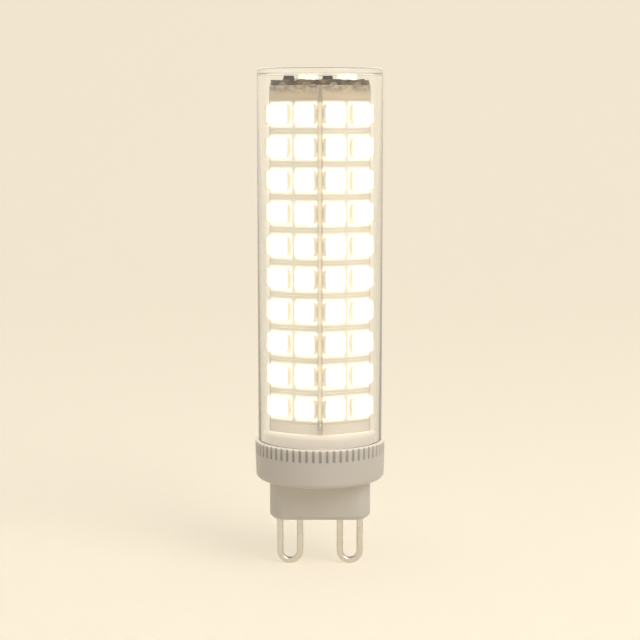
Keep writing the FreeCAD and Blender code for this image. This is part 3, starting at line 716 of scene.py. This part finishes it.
@cache
def crown_mask():
    """The top board's white mask: copper edges between its parts, painted light spilled by its two
    LEDs.
    """
    board, led = settings().board, settings().led
    look = Finish("crown_mask", Emission_Color=tone(led.spill), IOR=1.5)
    spot = look.axes(look.place())
    x, y = spot["X"], spot["Y"]
    beside = look.math("MINIMUM", *[look.apart(x, centre) for centre in crown_columns()])
    past_sides = look.minus(beside, led.package_width / 2)
    past_ends = look.minus(look.apart(y, CROWN_ROW), led.package_length / 2)
    # Painted light: a pool of light round each of the two LEDs, as an emission of the mask
    near = halo_round(look, past_ends, past_sides)
    look.give(Emission_Strength=look.times(near, board.halo_strength))

    # One gap runs behind the LEDs, and the others part the board between the parts before it
    splits = (
        (CHIPS_LOW.x + board.chip_width + CROWN_LEDS_LOW.x) / 2,
        (CROWN_LEDS_LOW.x + led.package_width + CHIPS_HIGH.x - board.chip_width) / 2,
        (CHIPS_HIGH.x + CROWN_LEDS_HIGH.x - led.package_width) / 2,
    )
    past_row = look.minus(y, CROWN_LEDS_HIGH.y + 0.3 * MM)
    gaps = [look.math("MAXIMUM", look.apart(x, split), past_row) for split in splits]
    copper = copper_under(look, look.math("MINIMUM", look.math("ABSOLUTE", past_row), *gaps))
    blotches = look.blend(look.noise(2 * MM, 4.0), tone(board.mask, 0.92), tone(board.mask, 1.04))
    look.base(look.blend(copper, tone(board.mask, 0.8), blotches))
    look.rough(look.noise(0.8 * MM), 0.32, 0.5)
    look.bump(copper, 0.03 * MM, 0.8)
    return look.material


@cache
def broken_edge():
    """The top board's edge, broken from its panel: brown, with torn fibres and scorched stretches."""
    edge = settings().board.crown_edge
    look = Finish("broken_edge")
    torn = look.noise(0.4 * MM, 5.0)
    scorched = look.spread(look.noise(2.5 * MM, 2.0), 0.0, 0.8, 0.45, 0.6, "SMOOTHSTEP")
    fibres = look.blend(torn, tone(edge, 0.5), tone(edge, 2.0))
    look.base(look.blend(scorched, fibres, tone(edge, 0.25)))
    look.rough(torn, 0.6, 0.9)
    look.bump(torn, 0.1 * MM)
    return look.material


def white_plastic(name, light, *shades):
    """White package plastic with a painted glow for some of the LED's light in it."""
    look = Finish(
        name, Emission_Color=tone(settings().led.spill), Emission_Strength=light, IOR=1.5,
    )
    look.base(look.blend(look.noise(0.8 * MM), *shades))
    look.rough(look.noise(0.5 * MM), 0.4, 0.6)
    return look.material


@cache
def lit_package():
    """The package's rim and cup, with a painted glow for the light inside them."""
    light = settings().led.spill_strength
    return white_plastic("lit_package", light, (0.86, 0.82, 0.72, 1), (0.95, 0.92, 0.85, 1))


@cache
def package_wall():
    """The package's outer walls, with a weaker painted glow, as less of the light comes through."""
    light = settings().led.wall_strength
    return white_plastic("package_wall", light, (0.84, 0.76, 0.63, 1), (0.92, 0.85, 0.73, 1))


@cache
def lit_phosphor():
    """Phosphor gel, lit."""
    led = settings().led
    look = Finish("lit_phosphor", Emission_Color=tone(led.glow), Emission_Strength=led.glow_strength)
    look.base(look.blend(look.noise(0.2 * MM), (0.88, 0.72, 0.3, 1), (0.95, 0.84, 0.45, 1)))
    look.rough(look.noise(0.5 * MM), 0.2, 0.35)
    return look.material


@cache
def tin_solder():
    """Tinned metal: dull where it froze last."""
    shades = (0.52, 0.51, 0.48, 1), (0.76, 0.75, 0.72, 1)
    return mottled("tin_solder", 0.5 * MM, 3.0, shades, (0.25, 0.5), 0.03 * MM, 0.6, Metallic=1.0)


@cache
def fluxed_solder():
    """Solder with burnt flux left on it."""
    shades = tone(settings().board.flux, 0.8), (0.46, 0.42, 0.35, 1)
    return mottled("fluxed_solder", 0.4 * MM, 4.0, shades, (0.3, 0.55), 0.03 * MM, 0.6, Metallic=0.5)


@cache
def black_epoxy():
    """Moulded black component package."""
    shades = (0.020, 0.015, 0.011, 1), (0.056, 0.042, 0.030, 1)
    return mottled("black_epoxy", 0.12 * MM, 3.0, shades, (0.45, 0.65), 0.01 * MM, 0.6)


def coated(name, low, high, grain=2 * MM, roughness=(0.3, 0.45)):
    """A plain coating with some variation."""
    return mottled(name, grain, 4.0, (tone(low), tone(high)), roughness, 0.02 * MM, 0.4)


@cache
def striped_sleeve():
    """The capacitor's shrunk sleeve, dark with one pale stripe."""
    look = Finish("striped_sleeve")
    stripe = look.spread(look.axes(look.place())["X"], 0.0, 1.0, 1.7 * MM, 1.75 * MM)
    look.base(look.blend(stripe, (0.03, 0.03, 0.05, 1), (0.55, 0.55, 0.56, 1)))
    look.rough(look.noise(1 * MM), 0.25, 0.4)
    return look.material


@cache
def tipped_chip():
    """Dark chip resistors with tinned ends."""
    look = Finish("tipped_chip")
    from_middle = look.math("ABSOLUTE", look.axes(look.place())["X"])
    tip = look.spread(from_middle, 0.0, 1.0, 1.15 * MM, 1.2 * MM)
    look.base(look.blend(tip, (0.02, 0.02, 0.022, 1), (0.6, 0.59, 0.56, 1)))
    look.rough(look.noise(0.4 * MM), 0.3, 0.5)
    return look.material


def terminal(name, low, high, finishes, test):
    """A foot or leg in the second of a part's finishes, chamfered on the edges that pass a test."""
    piece = block(name, low, high)
    coat(piece, *finishes)
    with edit(piece):
        pick("EDGE", test)
        bevel(TERMINAL_EDGE)
        pick_all()
        assign(1)
    return piece


def package(name):
    """A white package on the ground, long along X, its cup open upwards, a tinned foot at each end."""
    led = settings().led
    half_length, half_width = led.package_length / 2, led.package_width / 2
    inner, reach = half_length - 0.15 * MM, half_length + 0.04 * MM
    body = block(name, (-half_length, -half_width, 0), (half_length, half_width, LED_HEIGHT))
    finishes = (lit_package(), tin_solder(), package_wall())
    coat(body, *finishes)
    with edit(body):
        pick("EDGE", upright)
        bevel(led.corner, 2)
        pick("FACE", faces_along(2))
        bpy.ops.mesh.inset(thickness=led.rim)
        extrude(-led.cup)
        widen(0.92, 0.9)
        pick_all()
        assign(0)
        pick("FACE", lambda face: min(v.co.z for v in face.verts) < SAME)
        assign(2)

    def upper_outer(edge):
        return all(v.co.z > TERMINAL_HEIGHT - SAME and abs(v.co.x) > half_length for v in edge.verts)

    feet = []
    for number, side in enumerate((-1, 1)):
        low_x, high_x = sorted((side * inner, side * reach))
        low, high = (low_x, -half_width * 0.5, 0), (high_x, half_width * 0.5, TERMINAL_HEIGHT)
        feet.append(terminal(f"foot_{number}", low, high, finishes, upper_outer))
    return join(name, body, *feet)


def phosphor(name):
    """The phosphor that fills one package's cup, its top slightly domed."""
    led = settings().led
    half_length = (led.package_length / 2 - led.rim) * 0.91
    half_width = (led.package_width / 2 - led.rim) * 0.89
    low = (-half_length, -half_width, LED_HEIGHT - led.cup)
    fill = block(name, low, (half_length, half_width, LED_HEIGHT - 0.08 * MM))
    with edit(fill):
        pick("EDGE", upright)
        bevel(0.2 * MM, 2)
        pick("FACE", faces_along(2))
        widen(1.06, 1.08)
        for share, rise in ((0.8, 0.04 * MM), (0.6, 0.02 * MM)):
            extrude(rise)
            widen(share, share)
    coat(fill, lit_phosphor())
    return fill


def stand_on_board(piece):
    """Turns a piece from the ground to the square board's first LED, and repeats it in the grid."""
    led = settings().led
    column, row = led_pitches()
    piece.rotation_euler.x = -math.pi / 2
    piece.location = (-column / 2, BOARD_HIGH.y, LEDS_LOW.z + led.package_width / 2)
    settle(piece)
    for count, step in ((2, (column, 0, 0)), (led.rows, (0, 0, row))):
        modify(piece, "ARRAY", count=count, use_relative_offset=False, use_constant_offset=True,
               constant_offset_displace=step)


def lie_on_crown(piece, name):
    """Copies a piece, its length turned along Y, to the two LED places of the top board."""
    twins = [
        copy_of(piece, f"{name}_{number}", math.pi / 2, (x, CROWN_ROW, CROWN_HIGH.z))
        for number, x in enumerate(crown_columns())
    ]
    return join(name, *twins)


class BULB_OT_clear_cover(bpy.types.Operator):
    """Models the clear tube with its closed, rounded end"""
    bl_idname = "bulb.clear_cover"
    bl_label = "Clear cover"

    def execute(self, context):
        cover = settings().cover
        outer = TUBE_HIGH.x
        bore = outer - cover.wall
        ceiling = TUBE_HIGH.z - cover.lid
        lip = cover.lip
        profile = arc((bore - cover.fillet, ceiling - cover.fillet), cover.fillet, 90, 0, 4)
        profile += arc((bore + lip, TUBE_LOW.z + lip), lip, 180, 270, 3)
        profile += arc((outer - lip, TUBE_LOW.z + lip), lip, 270, 360, 3)
        profile += arc((outer - cover.rim, TUBE_HIGH.z - cover.rim), cover.rim, 0, 90, 6)
        tube = turned("clear_cover", cover.segments, profile)
        smooth(tube)
        coat(tube, clear_plastic())
        dress(tube, "clear_cover", "cover_tube")
        return {"FINISHED"}


class BULB_OT_ribbed_base(bpy.types.Operator):
    """Models the white moulding: ribbed collar, spigot, the boss inside the column, and the plug"""
    bl_idname = "bulb.ribbed_base"
    bl_label = "Ribbed base"

    def collar(self, base):
        """The turned collar and spigot, with the grooves pressed into its upper part."""
        top_radius = BASE_HIGH.x
        low_radius = top_radius - base.draft
        top = TUBE_LOW.z
        spigot = TUBE_HIGH.x - settings().cover.wall - base.spigot_gap
        seat = BOARD_LOW.z
        groove_low = top - base.rib_height
        steepness = base.draft / (top - base.collar_low)
        edge = 0.13 * MM
        soft = base.spigot_edge
        profile = arc((low_radius - base.round, base.collar_low + base.round), base.round, -90, 0, 6)
        # Rings close to the grooves' feet, so that a groove ends short and the wall below stays plain
        for z in (groove_low - 0.5 * MM, groove_low, groove_low + 0.25 * MM):
            profile.append((low_radius + steepness * (z - base.collar_low), z))
        profile += arc((top_radius - edge, top - edge), edge, 0, 90, 3)
        profile.append((spigot, top))
        profile += arc((spigot - soft, seat - soft), soft, 0, 90, 4)
        body = turned("collar", base.ribs * base.rib_steps, profile)
        pitch = math.tau / base.ribs
        press = 1 - base.groove / top_radius

        def in_groove(vertex):
            x, y, z = vertex.co
            from_groove = abs((math.atan2(y, x) / pitch + 0.5) % 1 - 0.5)
            outside = vertex.co.xy.length > TUBE_HIGH.x + 0.05 * MM
            return groove_low + 0.1 * MM < z < top + SAME and outside and from_groove < 0.2

        with edit(body):
            pick("VERT", in_groove)
            widen(press, press)
        close(body)
        return body

    def boss(self):
        """The two halves of the five-sided boss, before and behind the driver board."""
        clearance = 0.1 * MM
        # The pins' leads rise between the front half and the driver board
        front = -0.9 * MM
        reach = (BOARD_LOW.y - clearance) / math.cos(TURN / 2)
        halves = []
        for number, (y, side) in enumerate(((front, -1), (DRIVER_HIGH.y + clearance, 1))):
            half = begin(
                f"boss_{number}", bpy.ops.mesh.primitive_cylinder_add, vertices=SIDES, radius=reach,
                depth=BASE_HIGH.z - BOARD_LOW.z, location=(0, 0, (BASE_HIGH.z + BOARD_LOW.z) / 2),
                rotation=(0, 0, math.pi),
            )
            with edit(half):
                pick_all()
                bpy.ops.mesh.bisect(
                    plane_co=(0, y, 0), plane_no=(0, 1, 0), use_fill=True,
                    clear_inner=side > 0, clear_outer=side < 0,
                )
            close(half)
            modify(half, "BEVEL", width=0.1 * MM, segments=2, limit_method="ANGLE")
            halves.append(half)
        return halves

    def plug(self, base):
        """The rounded plug below the collar, with a lead-in and a dimple round each leg of the pins."""
        half_length, half_width = base.plug_length / 2, base.plug_width / 2
        top = base.collar_low + 0.3 * MM
        body = block("plug", (-half_length, -half_width, 0), (half_length, half_width, top))
        with edit(body):
            pick("EDGE", upright)
            bevel(base.plug_corner, 10)
            pick("FACE", faces_along(2, -1))
            bevel(base.plug_lead_in)
        modify(body, "BEVEL", width=0.12 * MM, segments=2, limit_method="ANGLE",
               angle_limit=math.radians(30))
        sinks = []
        for pin in ("pin_left", "pin_right"):
            low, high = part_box(pin)
            wire = high.y
            for x in (low.x + wire, high.x - wire):
                sinks.append(begin(
                    f"sink_{len(sinks)}", bpy.ops.mesh.primitive_cone_add, vertices=24,
                    radius1=wire + 0.35 * MM, radius2=wire, depth=0.4 * MM, location=(x, 0, 0.15 * MM),
                ))
        cutter = join("sinks", *sinks)
        modify(body, "BOOLEAN", object=cutter, operation="DIFFERENCE", solver="EXACT")
        bpy.data.objects.remove(cutter)
        return body

    def execute(self, context):
        base = settings().base
        whole = join("ribbed_base", self.collar(base), self.plug(base), *self.boss())
        smooth(whole)
        coat(whole, moulded_white())
        dress(whole, "base_plastic", "base_housing")
        return {"FINISHED"}


class BULB_OT_led_boards(bpy.types.Operator):
    """Models the five side boards, with chamfered edges and sawn sides"""
    bl_idname = "bulb.led_boards"
    bl_label = "LED boards"

    def execute(self, context):
        board, led = settings().board, settings().led
        column, row = led_pitches()
        plate = block("board", BOARD_LOW, BOARD_HIGH)
        coat(plate, white_mask(), sawn_laminate())
        with edit(plate):
            pick("FACE", faces_along(1))
            bevel(board.edge, 2)
            pick_all()
            assign(1)
            pick("FACE", lambda face: abs(face.normal.y) > ALONG)
            assign(0)
        # The finishes find the packages by these coordinates, counted in columns and rows
        first_row = LEDS_LOW.z + led.package_width / 2
        grid = plate.data.uv_layers.active or plate.data.uv_layers.new(name="LedGrid")
        for loop, spot in zip(plate.data.loops, grid.data):
            place = plate.data.vertices[loop.vertex_index].co
            spot.uv = (place.x / column, (place.z - first_row) / row)
        smooth(plate)
        for number, twin in enumerate(round_the_column(plate, "side_board"), start=1):
            dress(twin, "board_white", f"led_panel_{number}")
        return {"FINISHED"}


class BULB_OT_led_packages(bpy.types.Operator):
    """Models one LED and sets it on all five boards and twice on the top board"""
    bl_idname = "bulb.led_packages"
    bl_label = "LED packages"

    def execute(self, context):
        for make, name, slot, nodes in (
            (package, "led_bodies", "led_housing", "led_packages"),
            (phosphor, "led_glow", "led_phosphor", "led_phosphor"),
        ):
            single = make(name)
            smooth(single, 30)
            crown = lie_on_crown(single, f"crown_{name}")
            # Seen from the side, the top LEDs' walls are as bright as their rims, so they take the
            # rims' stronger painted glow
            crown.data.materials[-1] = crown.data.materials[0]
            dress(crown, slot, f"top_{nodes}")
            stand_on_board(single)
            for number, twin in enumerate(round_the_column(single, name), start=1):
                dress(twin, slot, f"{nodes}_{number}")
        return {"FINISHED"}


class BULB_OT_crown(bpy.types.Operator):
    """Models the top board with its broken edge, and the two dark regulators on it"""
    bl_idname = "bulb.crown"
    bl_label = "Top board"

    def plate(self):
        """The five-sided plate, its edge torn where it was broken from its panel."""
        low, high = CROWN_LOW.z, CROWN_HIGH.z
        plate = begin(
            "crown_board", bpy.ops.mesh.primitive_cylinder_add, vertices=SIDES,
            radius=CROWN_HIGH.y / math.cos(TURN / 2) - 0.06 * MM, depth=high - low,
            location=(0, 0, (low + high) / 2), rotation=(0, 0, math.pi),
        )
        coat(plate, crown_mask(), broken_edge())
        with edit(plate):
            pick("EDGE", lambda edge: not upright(edge))
            bpy.ops.mesh.subdivide(number_cuts=5)
            pick("FACE", lambda face: abs(face.normal.z) < 0.5)
            bpy.ops.transform.vertex_random(offset=0.18 * MM, uniform=0.3, normal=0.4, seed=7)
            bpy.ops.mesh.subdivide(number_cuts=3)
            bpy.ops.transform.vertex_random(offset=0.1 * MM, uniform=0.3, normal=0.4, seed=11)
            pick_all()
            assign(0)
            pick("FACE", lambda face: abs(face.normal.z) < 0.75)
            assign(1)
        close(plate)
        return plate

    def regulators(self):
        """Two low packages with chamfered tops and short tinned legs."""
        width = settings().board.chip_width
        depth = CHIPS_HIGH.y - CHIPS_LOW.y
        height = CHIPS_HIGH.z - CHIPS_LOW.z
        stand_off, leg_half = 0.06 * MM, 0.2
        inner, reach = width / 2 - 0.12 * MM, width / 2 + 0.18 * MM
        finishes = (black_epoxy(), tin_solder())
        body = block("chip", (-width / 2, -depth / 2, stand_off), (width / 2, depth / 2, height))
        coat(body, *finishes)
        with edit(body):
            pick("FACE", faces_along(2))
            widen(0.86, 0.92)
            pick_all()
            bevel(0.05 * MM)
            pick_all()
            assign(0)
        legs = []
        # Each leg's side, and its place along the package in millimetres
        for number, (side, y) in enumerate(((-1, -0.9), (-1, 0.9), (1, 0.0))):
            low_x, high_x = sorted((side * inner, side * reach))
            low, high = (low_x, (y - leg_half) * MM, 0), (high_x, (y + leg_half) * MM, TERMINAL_HEIGHT)
            legs.append(terminal(f"leg_{number}", low, high, finishes, lambda edge: True))
        chip = join("chip", body, *legs)
        y = (CHIPS_LOW.y + CHIPS_HIGH.y) / 2
        twins = [
            copy_of(chip, f"chip_{number}", 0.0, (x, y, CROWN_HIGH.z))
            for number, x in enumerate((CHIPS_LOW.x + width / 2, CHIPS_HIGH.x - width / 2))
        ]
        bpy.data.objects.remove(chip)
        return join("regulator_chips", *twins)

    def execute(self, context):
        plate = self.plate()
        smooth(plate, 25)
        dress(plate, "board_white", "top_board")
        chips = self.regulators()
        smooth(chips, 30)
        dress(chips, "component_black", "current_regulators")
        return {"FINISHED"}


class BULB_OT_solder(bpy.types.Operator):
    """Models the solder on the boards' upper ends, in the seams at their feet and round the leads"""
    bl_idname = "bulb.solder"
    bl_label = "Solder"

    def drop(self, name, place, size, segments, rings):
        """A drop of solder as a start: a sphere stretched to a size."""
        return begin(
            name, bpy.ops.mesh.primitive_uv_sphere_add, segments=segments, ring_count=rings, radius=1,
            location=place, scale=size,
        )

    def cut_below(self, z):
        """Cuts off what is below a height, in edit mode."""
        pick_all()
        bpy.ops.mesh.bisect(plane_co=(0, 0, z), plane_no=(0, 0, 1), use_fill=True, clear_inner=True)

    def ruffle(self, offset, seed):
        """Makes the whole piece uneven, in edit mode."""
        pick_all()
        bpy.ops.transform.vertex_random(offset=offset, uniform=0.5, seed=seed)

    def crown_beads(self):
        """Two flat-bottomed beads on each board's upper end."""
        size = (0.72 * MM, 0.22 * MM, 0.5 * MM)
        from_middle = settings().board.joint_pitch / 2
        beads = []
        for number, side in enumerate((-1, 1)):
            place = (side * from_middle, CROWN_HIGH.y + 0.02 * MM, BOARD_HIGH.z)
            bead = self.drop(f"bead_{number}", place, size, 14, 8)
            with edit(bead):
                self.cut_below(BOARD_HIGH.z)
                self.ruffle(0.03 * MM, 3 + number)
            close(bead)
            beads.append(bead)
        pair = join("bead_pair", *beads)
        return join("crown_beads", *round_the_column(pair, "beads"))

    def seam_beads(self):
        """One slim bead in each corner at the boards' feet."""
        corner = BOARD_LOW.y / math.cos(TURN / 2) + 0.22 * MM
        place = (0, -corner, (SEAMS_LOW.z + SEAMS_HIGH.z) / 2)
        size = (0.3 * MM, 0.24 * MM, (SEAMS_HIGH.z - SEAMS_LOW.z) / 2)
        seam = self.drop("seam", place, size, 12, 8)
        with edit(seam):
            self.ruffle(0.02 * MM, 5)
        return join("seam_beads", *round_the_column(seam, "seams"))

    def lead_joints(self):
        """A dome where each lead comes through the top board, its tip pulled to one side."""
        domes = []
        for lead in ("positive_lead", "negative_lead"):
            low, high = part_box(lead)
            place = ((low.x + high.x) / 2, (low.y + high.y) / 2, CROWN_HIGH.z)
            dome = self.drop(f"dome_{lead}", place, (0.85 * MM, 0.8 * MM, 0.42 * MM), 20, 10)
            with edit(dome):
                self.cut_below(CROWN_HIGH.z)
                pick("VERT", lambda v: v.co.z > CROWN_HIGH.z + 0.3 * MM)
                bpy.ops.transform.translate(value=(0.08 * MM, 0, 0.06 * MM))
            close(dome)
            domes.append(dome)
        return join("lead_joints", *domes)

    def execute(self, context):
        for make, finish, nodes in (
            (self.crown_beads, fluxed_solder, ["board_joints"]),
            (self.seam_beads, tin_solder, ["seam_joints"]),
            (self.lead_joints, tin_solder, []),
        ):
            piece = make()
            smooth(piece, 60)
            coat(piece, finish())
            dress(piece, "solder", *nodes)
        return {"FINISHED"}


class BULB_OT_inner_parts(bpy.types.Operator):
    """Finishes the pins and the parts inside the column, whose solids have the right shape"""
    bl_idname = "bulb.inner_parts"
    bl_label = "Pins and inner parts"

    def execute(self, context):
        green = coated("green_board", (0.02, 0.09, 0.03), (0.04, 0.16, 0.06))
        dipped = coated("dipped_coating", (0.10, 0.16, 0.11), (0.17, 0.25, 0.18), 1 * MM, (0.4, 0.6))
        red = coated("red_sleeve", (0.40, 0.02, 0.015), (0.52, 0.04, 0.03))
        black = coated("black_sleeve", (0.012, 0.012, 0.012), (0.03, 0.03, 0.03))
        finishes = {
            "pin_left": nickel_wire(), "pin_right": nickel_wire(), "driver_board": green,
            "smoothing_capacitor": striped_sleeve(), "capacitor_leads": tin_solder(),
            "fuse_resistor": dipped, "bridge_rectifier": black_epoxy(), "chip_resistors": tipped_chip(),
            "live_lead": red, "positive_lead": red, "neutral_lead": black, "negative_lead": black,
        }
        for name, finish in finishes.items():
            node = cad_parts[name]
            node.data.materials.clear()
            coat(node, finish)
        return {"FINISHED"}


class BULB_OT_stage(bpy.types.Operator):
    """Sets the floor, the backdrop, the light and the camera"""
    bl_idname = "bulb.stage"
    bl_label = "Stage"

    def paper(self, stage):
        """Pale paper whose colour stays pale to the camera where little light falls on it."""
        look = Finish("pale_paper", Roughness=0.9, Emission_Color=tone(stage.floor))
        look.base(look.blend(look.noise(30 * MM), tone(stage.floor, 0.99), tone(stage.floor, 1.01)))
        look.give(Emission_Strength=look.times(look.seen(), stage.lift))
        return look.material

    def floor(self, stage):
        """One sheet of paper that lies under the bulb and curves up behind it."""
        low = CAD_BOX[0].z
        size, centre, wall, curve = 2.4, -0.5, 1.6, 0.4
        sweep = begin(
            "paper_sweep", bpy.ops.mesh.primitive_plane_add, size=size, location=(0, centre, low),
        )
        with edit(sweep):
            pick("EDGE", lambda edge: all(v.co.y > centre for v in edge.verts))
            extrude(wall)
            pick("EDGE", lambda edge: all(v.co.y > centre and v.co.z < low + SAME for v in edge.verts))
            bevel(curve, 24)
        smooth(sweep, 40)
        coat(sweep, self.paper(stage))

    def surroundings(self, stage):
        """Even light from all sides, paler where it is seen than where it only shines."""
        world = bpy.data.worlds.new("even_light")
        world.use_nodes = True
        nodes = Nodes(world.node_tree)
        light = nodes.tree.nodes["Background"].inputs
        nodes.set(light["Color"], (1.0, 0.95, 0.88, 1))
        level = nodes.spread(nodes.seen(), stage.world, stage.world_seen, 0.0, 1.0)
        nodes.set(light["Strength"], level)
        bpy.context.scene.world = world

    def key_light(self, stage):
        """A soft square light at the upper right, aimed at the bulb's middle."""
        bpy.ops.object.light_add(type="AREA", location=(0.28, -0.30, 0.34))
        key = bpy.context.object
        key.name = "key_light"
        key.data.shape = "SQUARE"
        key.data.size = 0.3
        key.data.energy = stage.key
        key.data.color = (1.0, 0.96, 0.9)
        aim = Vector((0, 0, 0.03))
        key.rotation_euler = (aim - key.location).to_track_quat("-Z", "Y").to_euler()

    def camera(self, stage):
        """The camera, tilted so that the bulb is in the middle of the picture."""
        middle = (CAD_BOX[0].z + CAD_BOX[1].z) / 2
        tilt = math.atan2(stage.eye - middle, stage.distance)
        bpy.ops.object.camera_add(
            location=(0, -stage.distance, stage.eye), rotation=(math.pi / 2 - tilt, 0, 0),
        )
        camera = bpy.context.object
        camera.data.lens = stage.lens
        camera.data.sensor_width = 36.0
        camera.data.clip_start = 0.01
        bpy.context.scene.camera = camera

    def execute(self, context):
        stage = settings().stage
        for part in (self.floor, self.surroundings, self.key_light, self.camera):
            part(stage)
        context.scene.view_settings.view_transform = "Standard"
        return {"FINISHED"}


STEPS = (
    BULB_OT_clear_cover, BULB_OT_ribbed_base, BULB_OT_led_boards, BULB_OT_led_packages,
    BULB_OT_crown, BULB_OT_solder, BULB_OT_inner_parts, BULB_OT_stage,
)


class BULB_PT_panel(bpy.types.Panel):
    """Lists the bulb's pieces and their settings"""
    bl_idname = "BULB_PT_panel"
    bl_label = "Corn LED bulb"
    bl_space_type = "VIEW_3D"
    bl_region_type = "UI"
    bl_category = "Bulb"

    def draw(self, context):
        bulb = settings()
        for group in (bulb.cover, bulb.base, bulb.led, bulb.board, bulb.stage):
            box = self.layout.box()
            for name in group.__annotations__:
                box.prop(group, name)
        for step in STEPS:
            self.layout.operator(step.bl_idname)


CLASSES = (
    CoverSettings, BaseSettings, LedSettings, BoardSettings, StageSettings, BulbSettings,
    *STEPS, BULB_PT_panel,
)


def register():
    for item in CLASSES:
        bpy.utils.register_class(item)
    bpy.types.Scene.corn_bulb = PointerProperty(type=BulbSettings)


def unregister():
    del bpy.types.Scene.corn_bulb
    for item in reversed(CLASSES):
        bpy.utils.unregister_class(item)


def main():
    register()
    bpy.ops.bulb.clear_cover()
    bpy.ops.bulb.ribbed_base()
    bpy.ops.bulb.led_boards()
    bpy.ops.bulb.led_packages()
    bpy.ops.bulb.crown()
    bpy.ops.bulb.solder()
    bpy.ops.bulb.inner_parts()
    bpy.ops.bulb.stage()


if __name__ == "__main__":
    main()
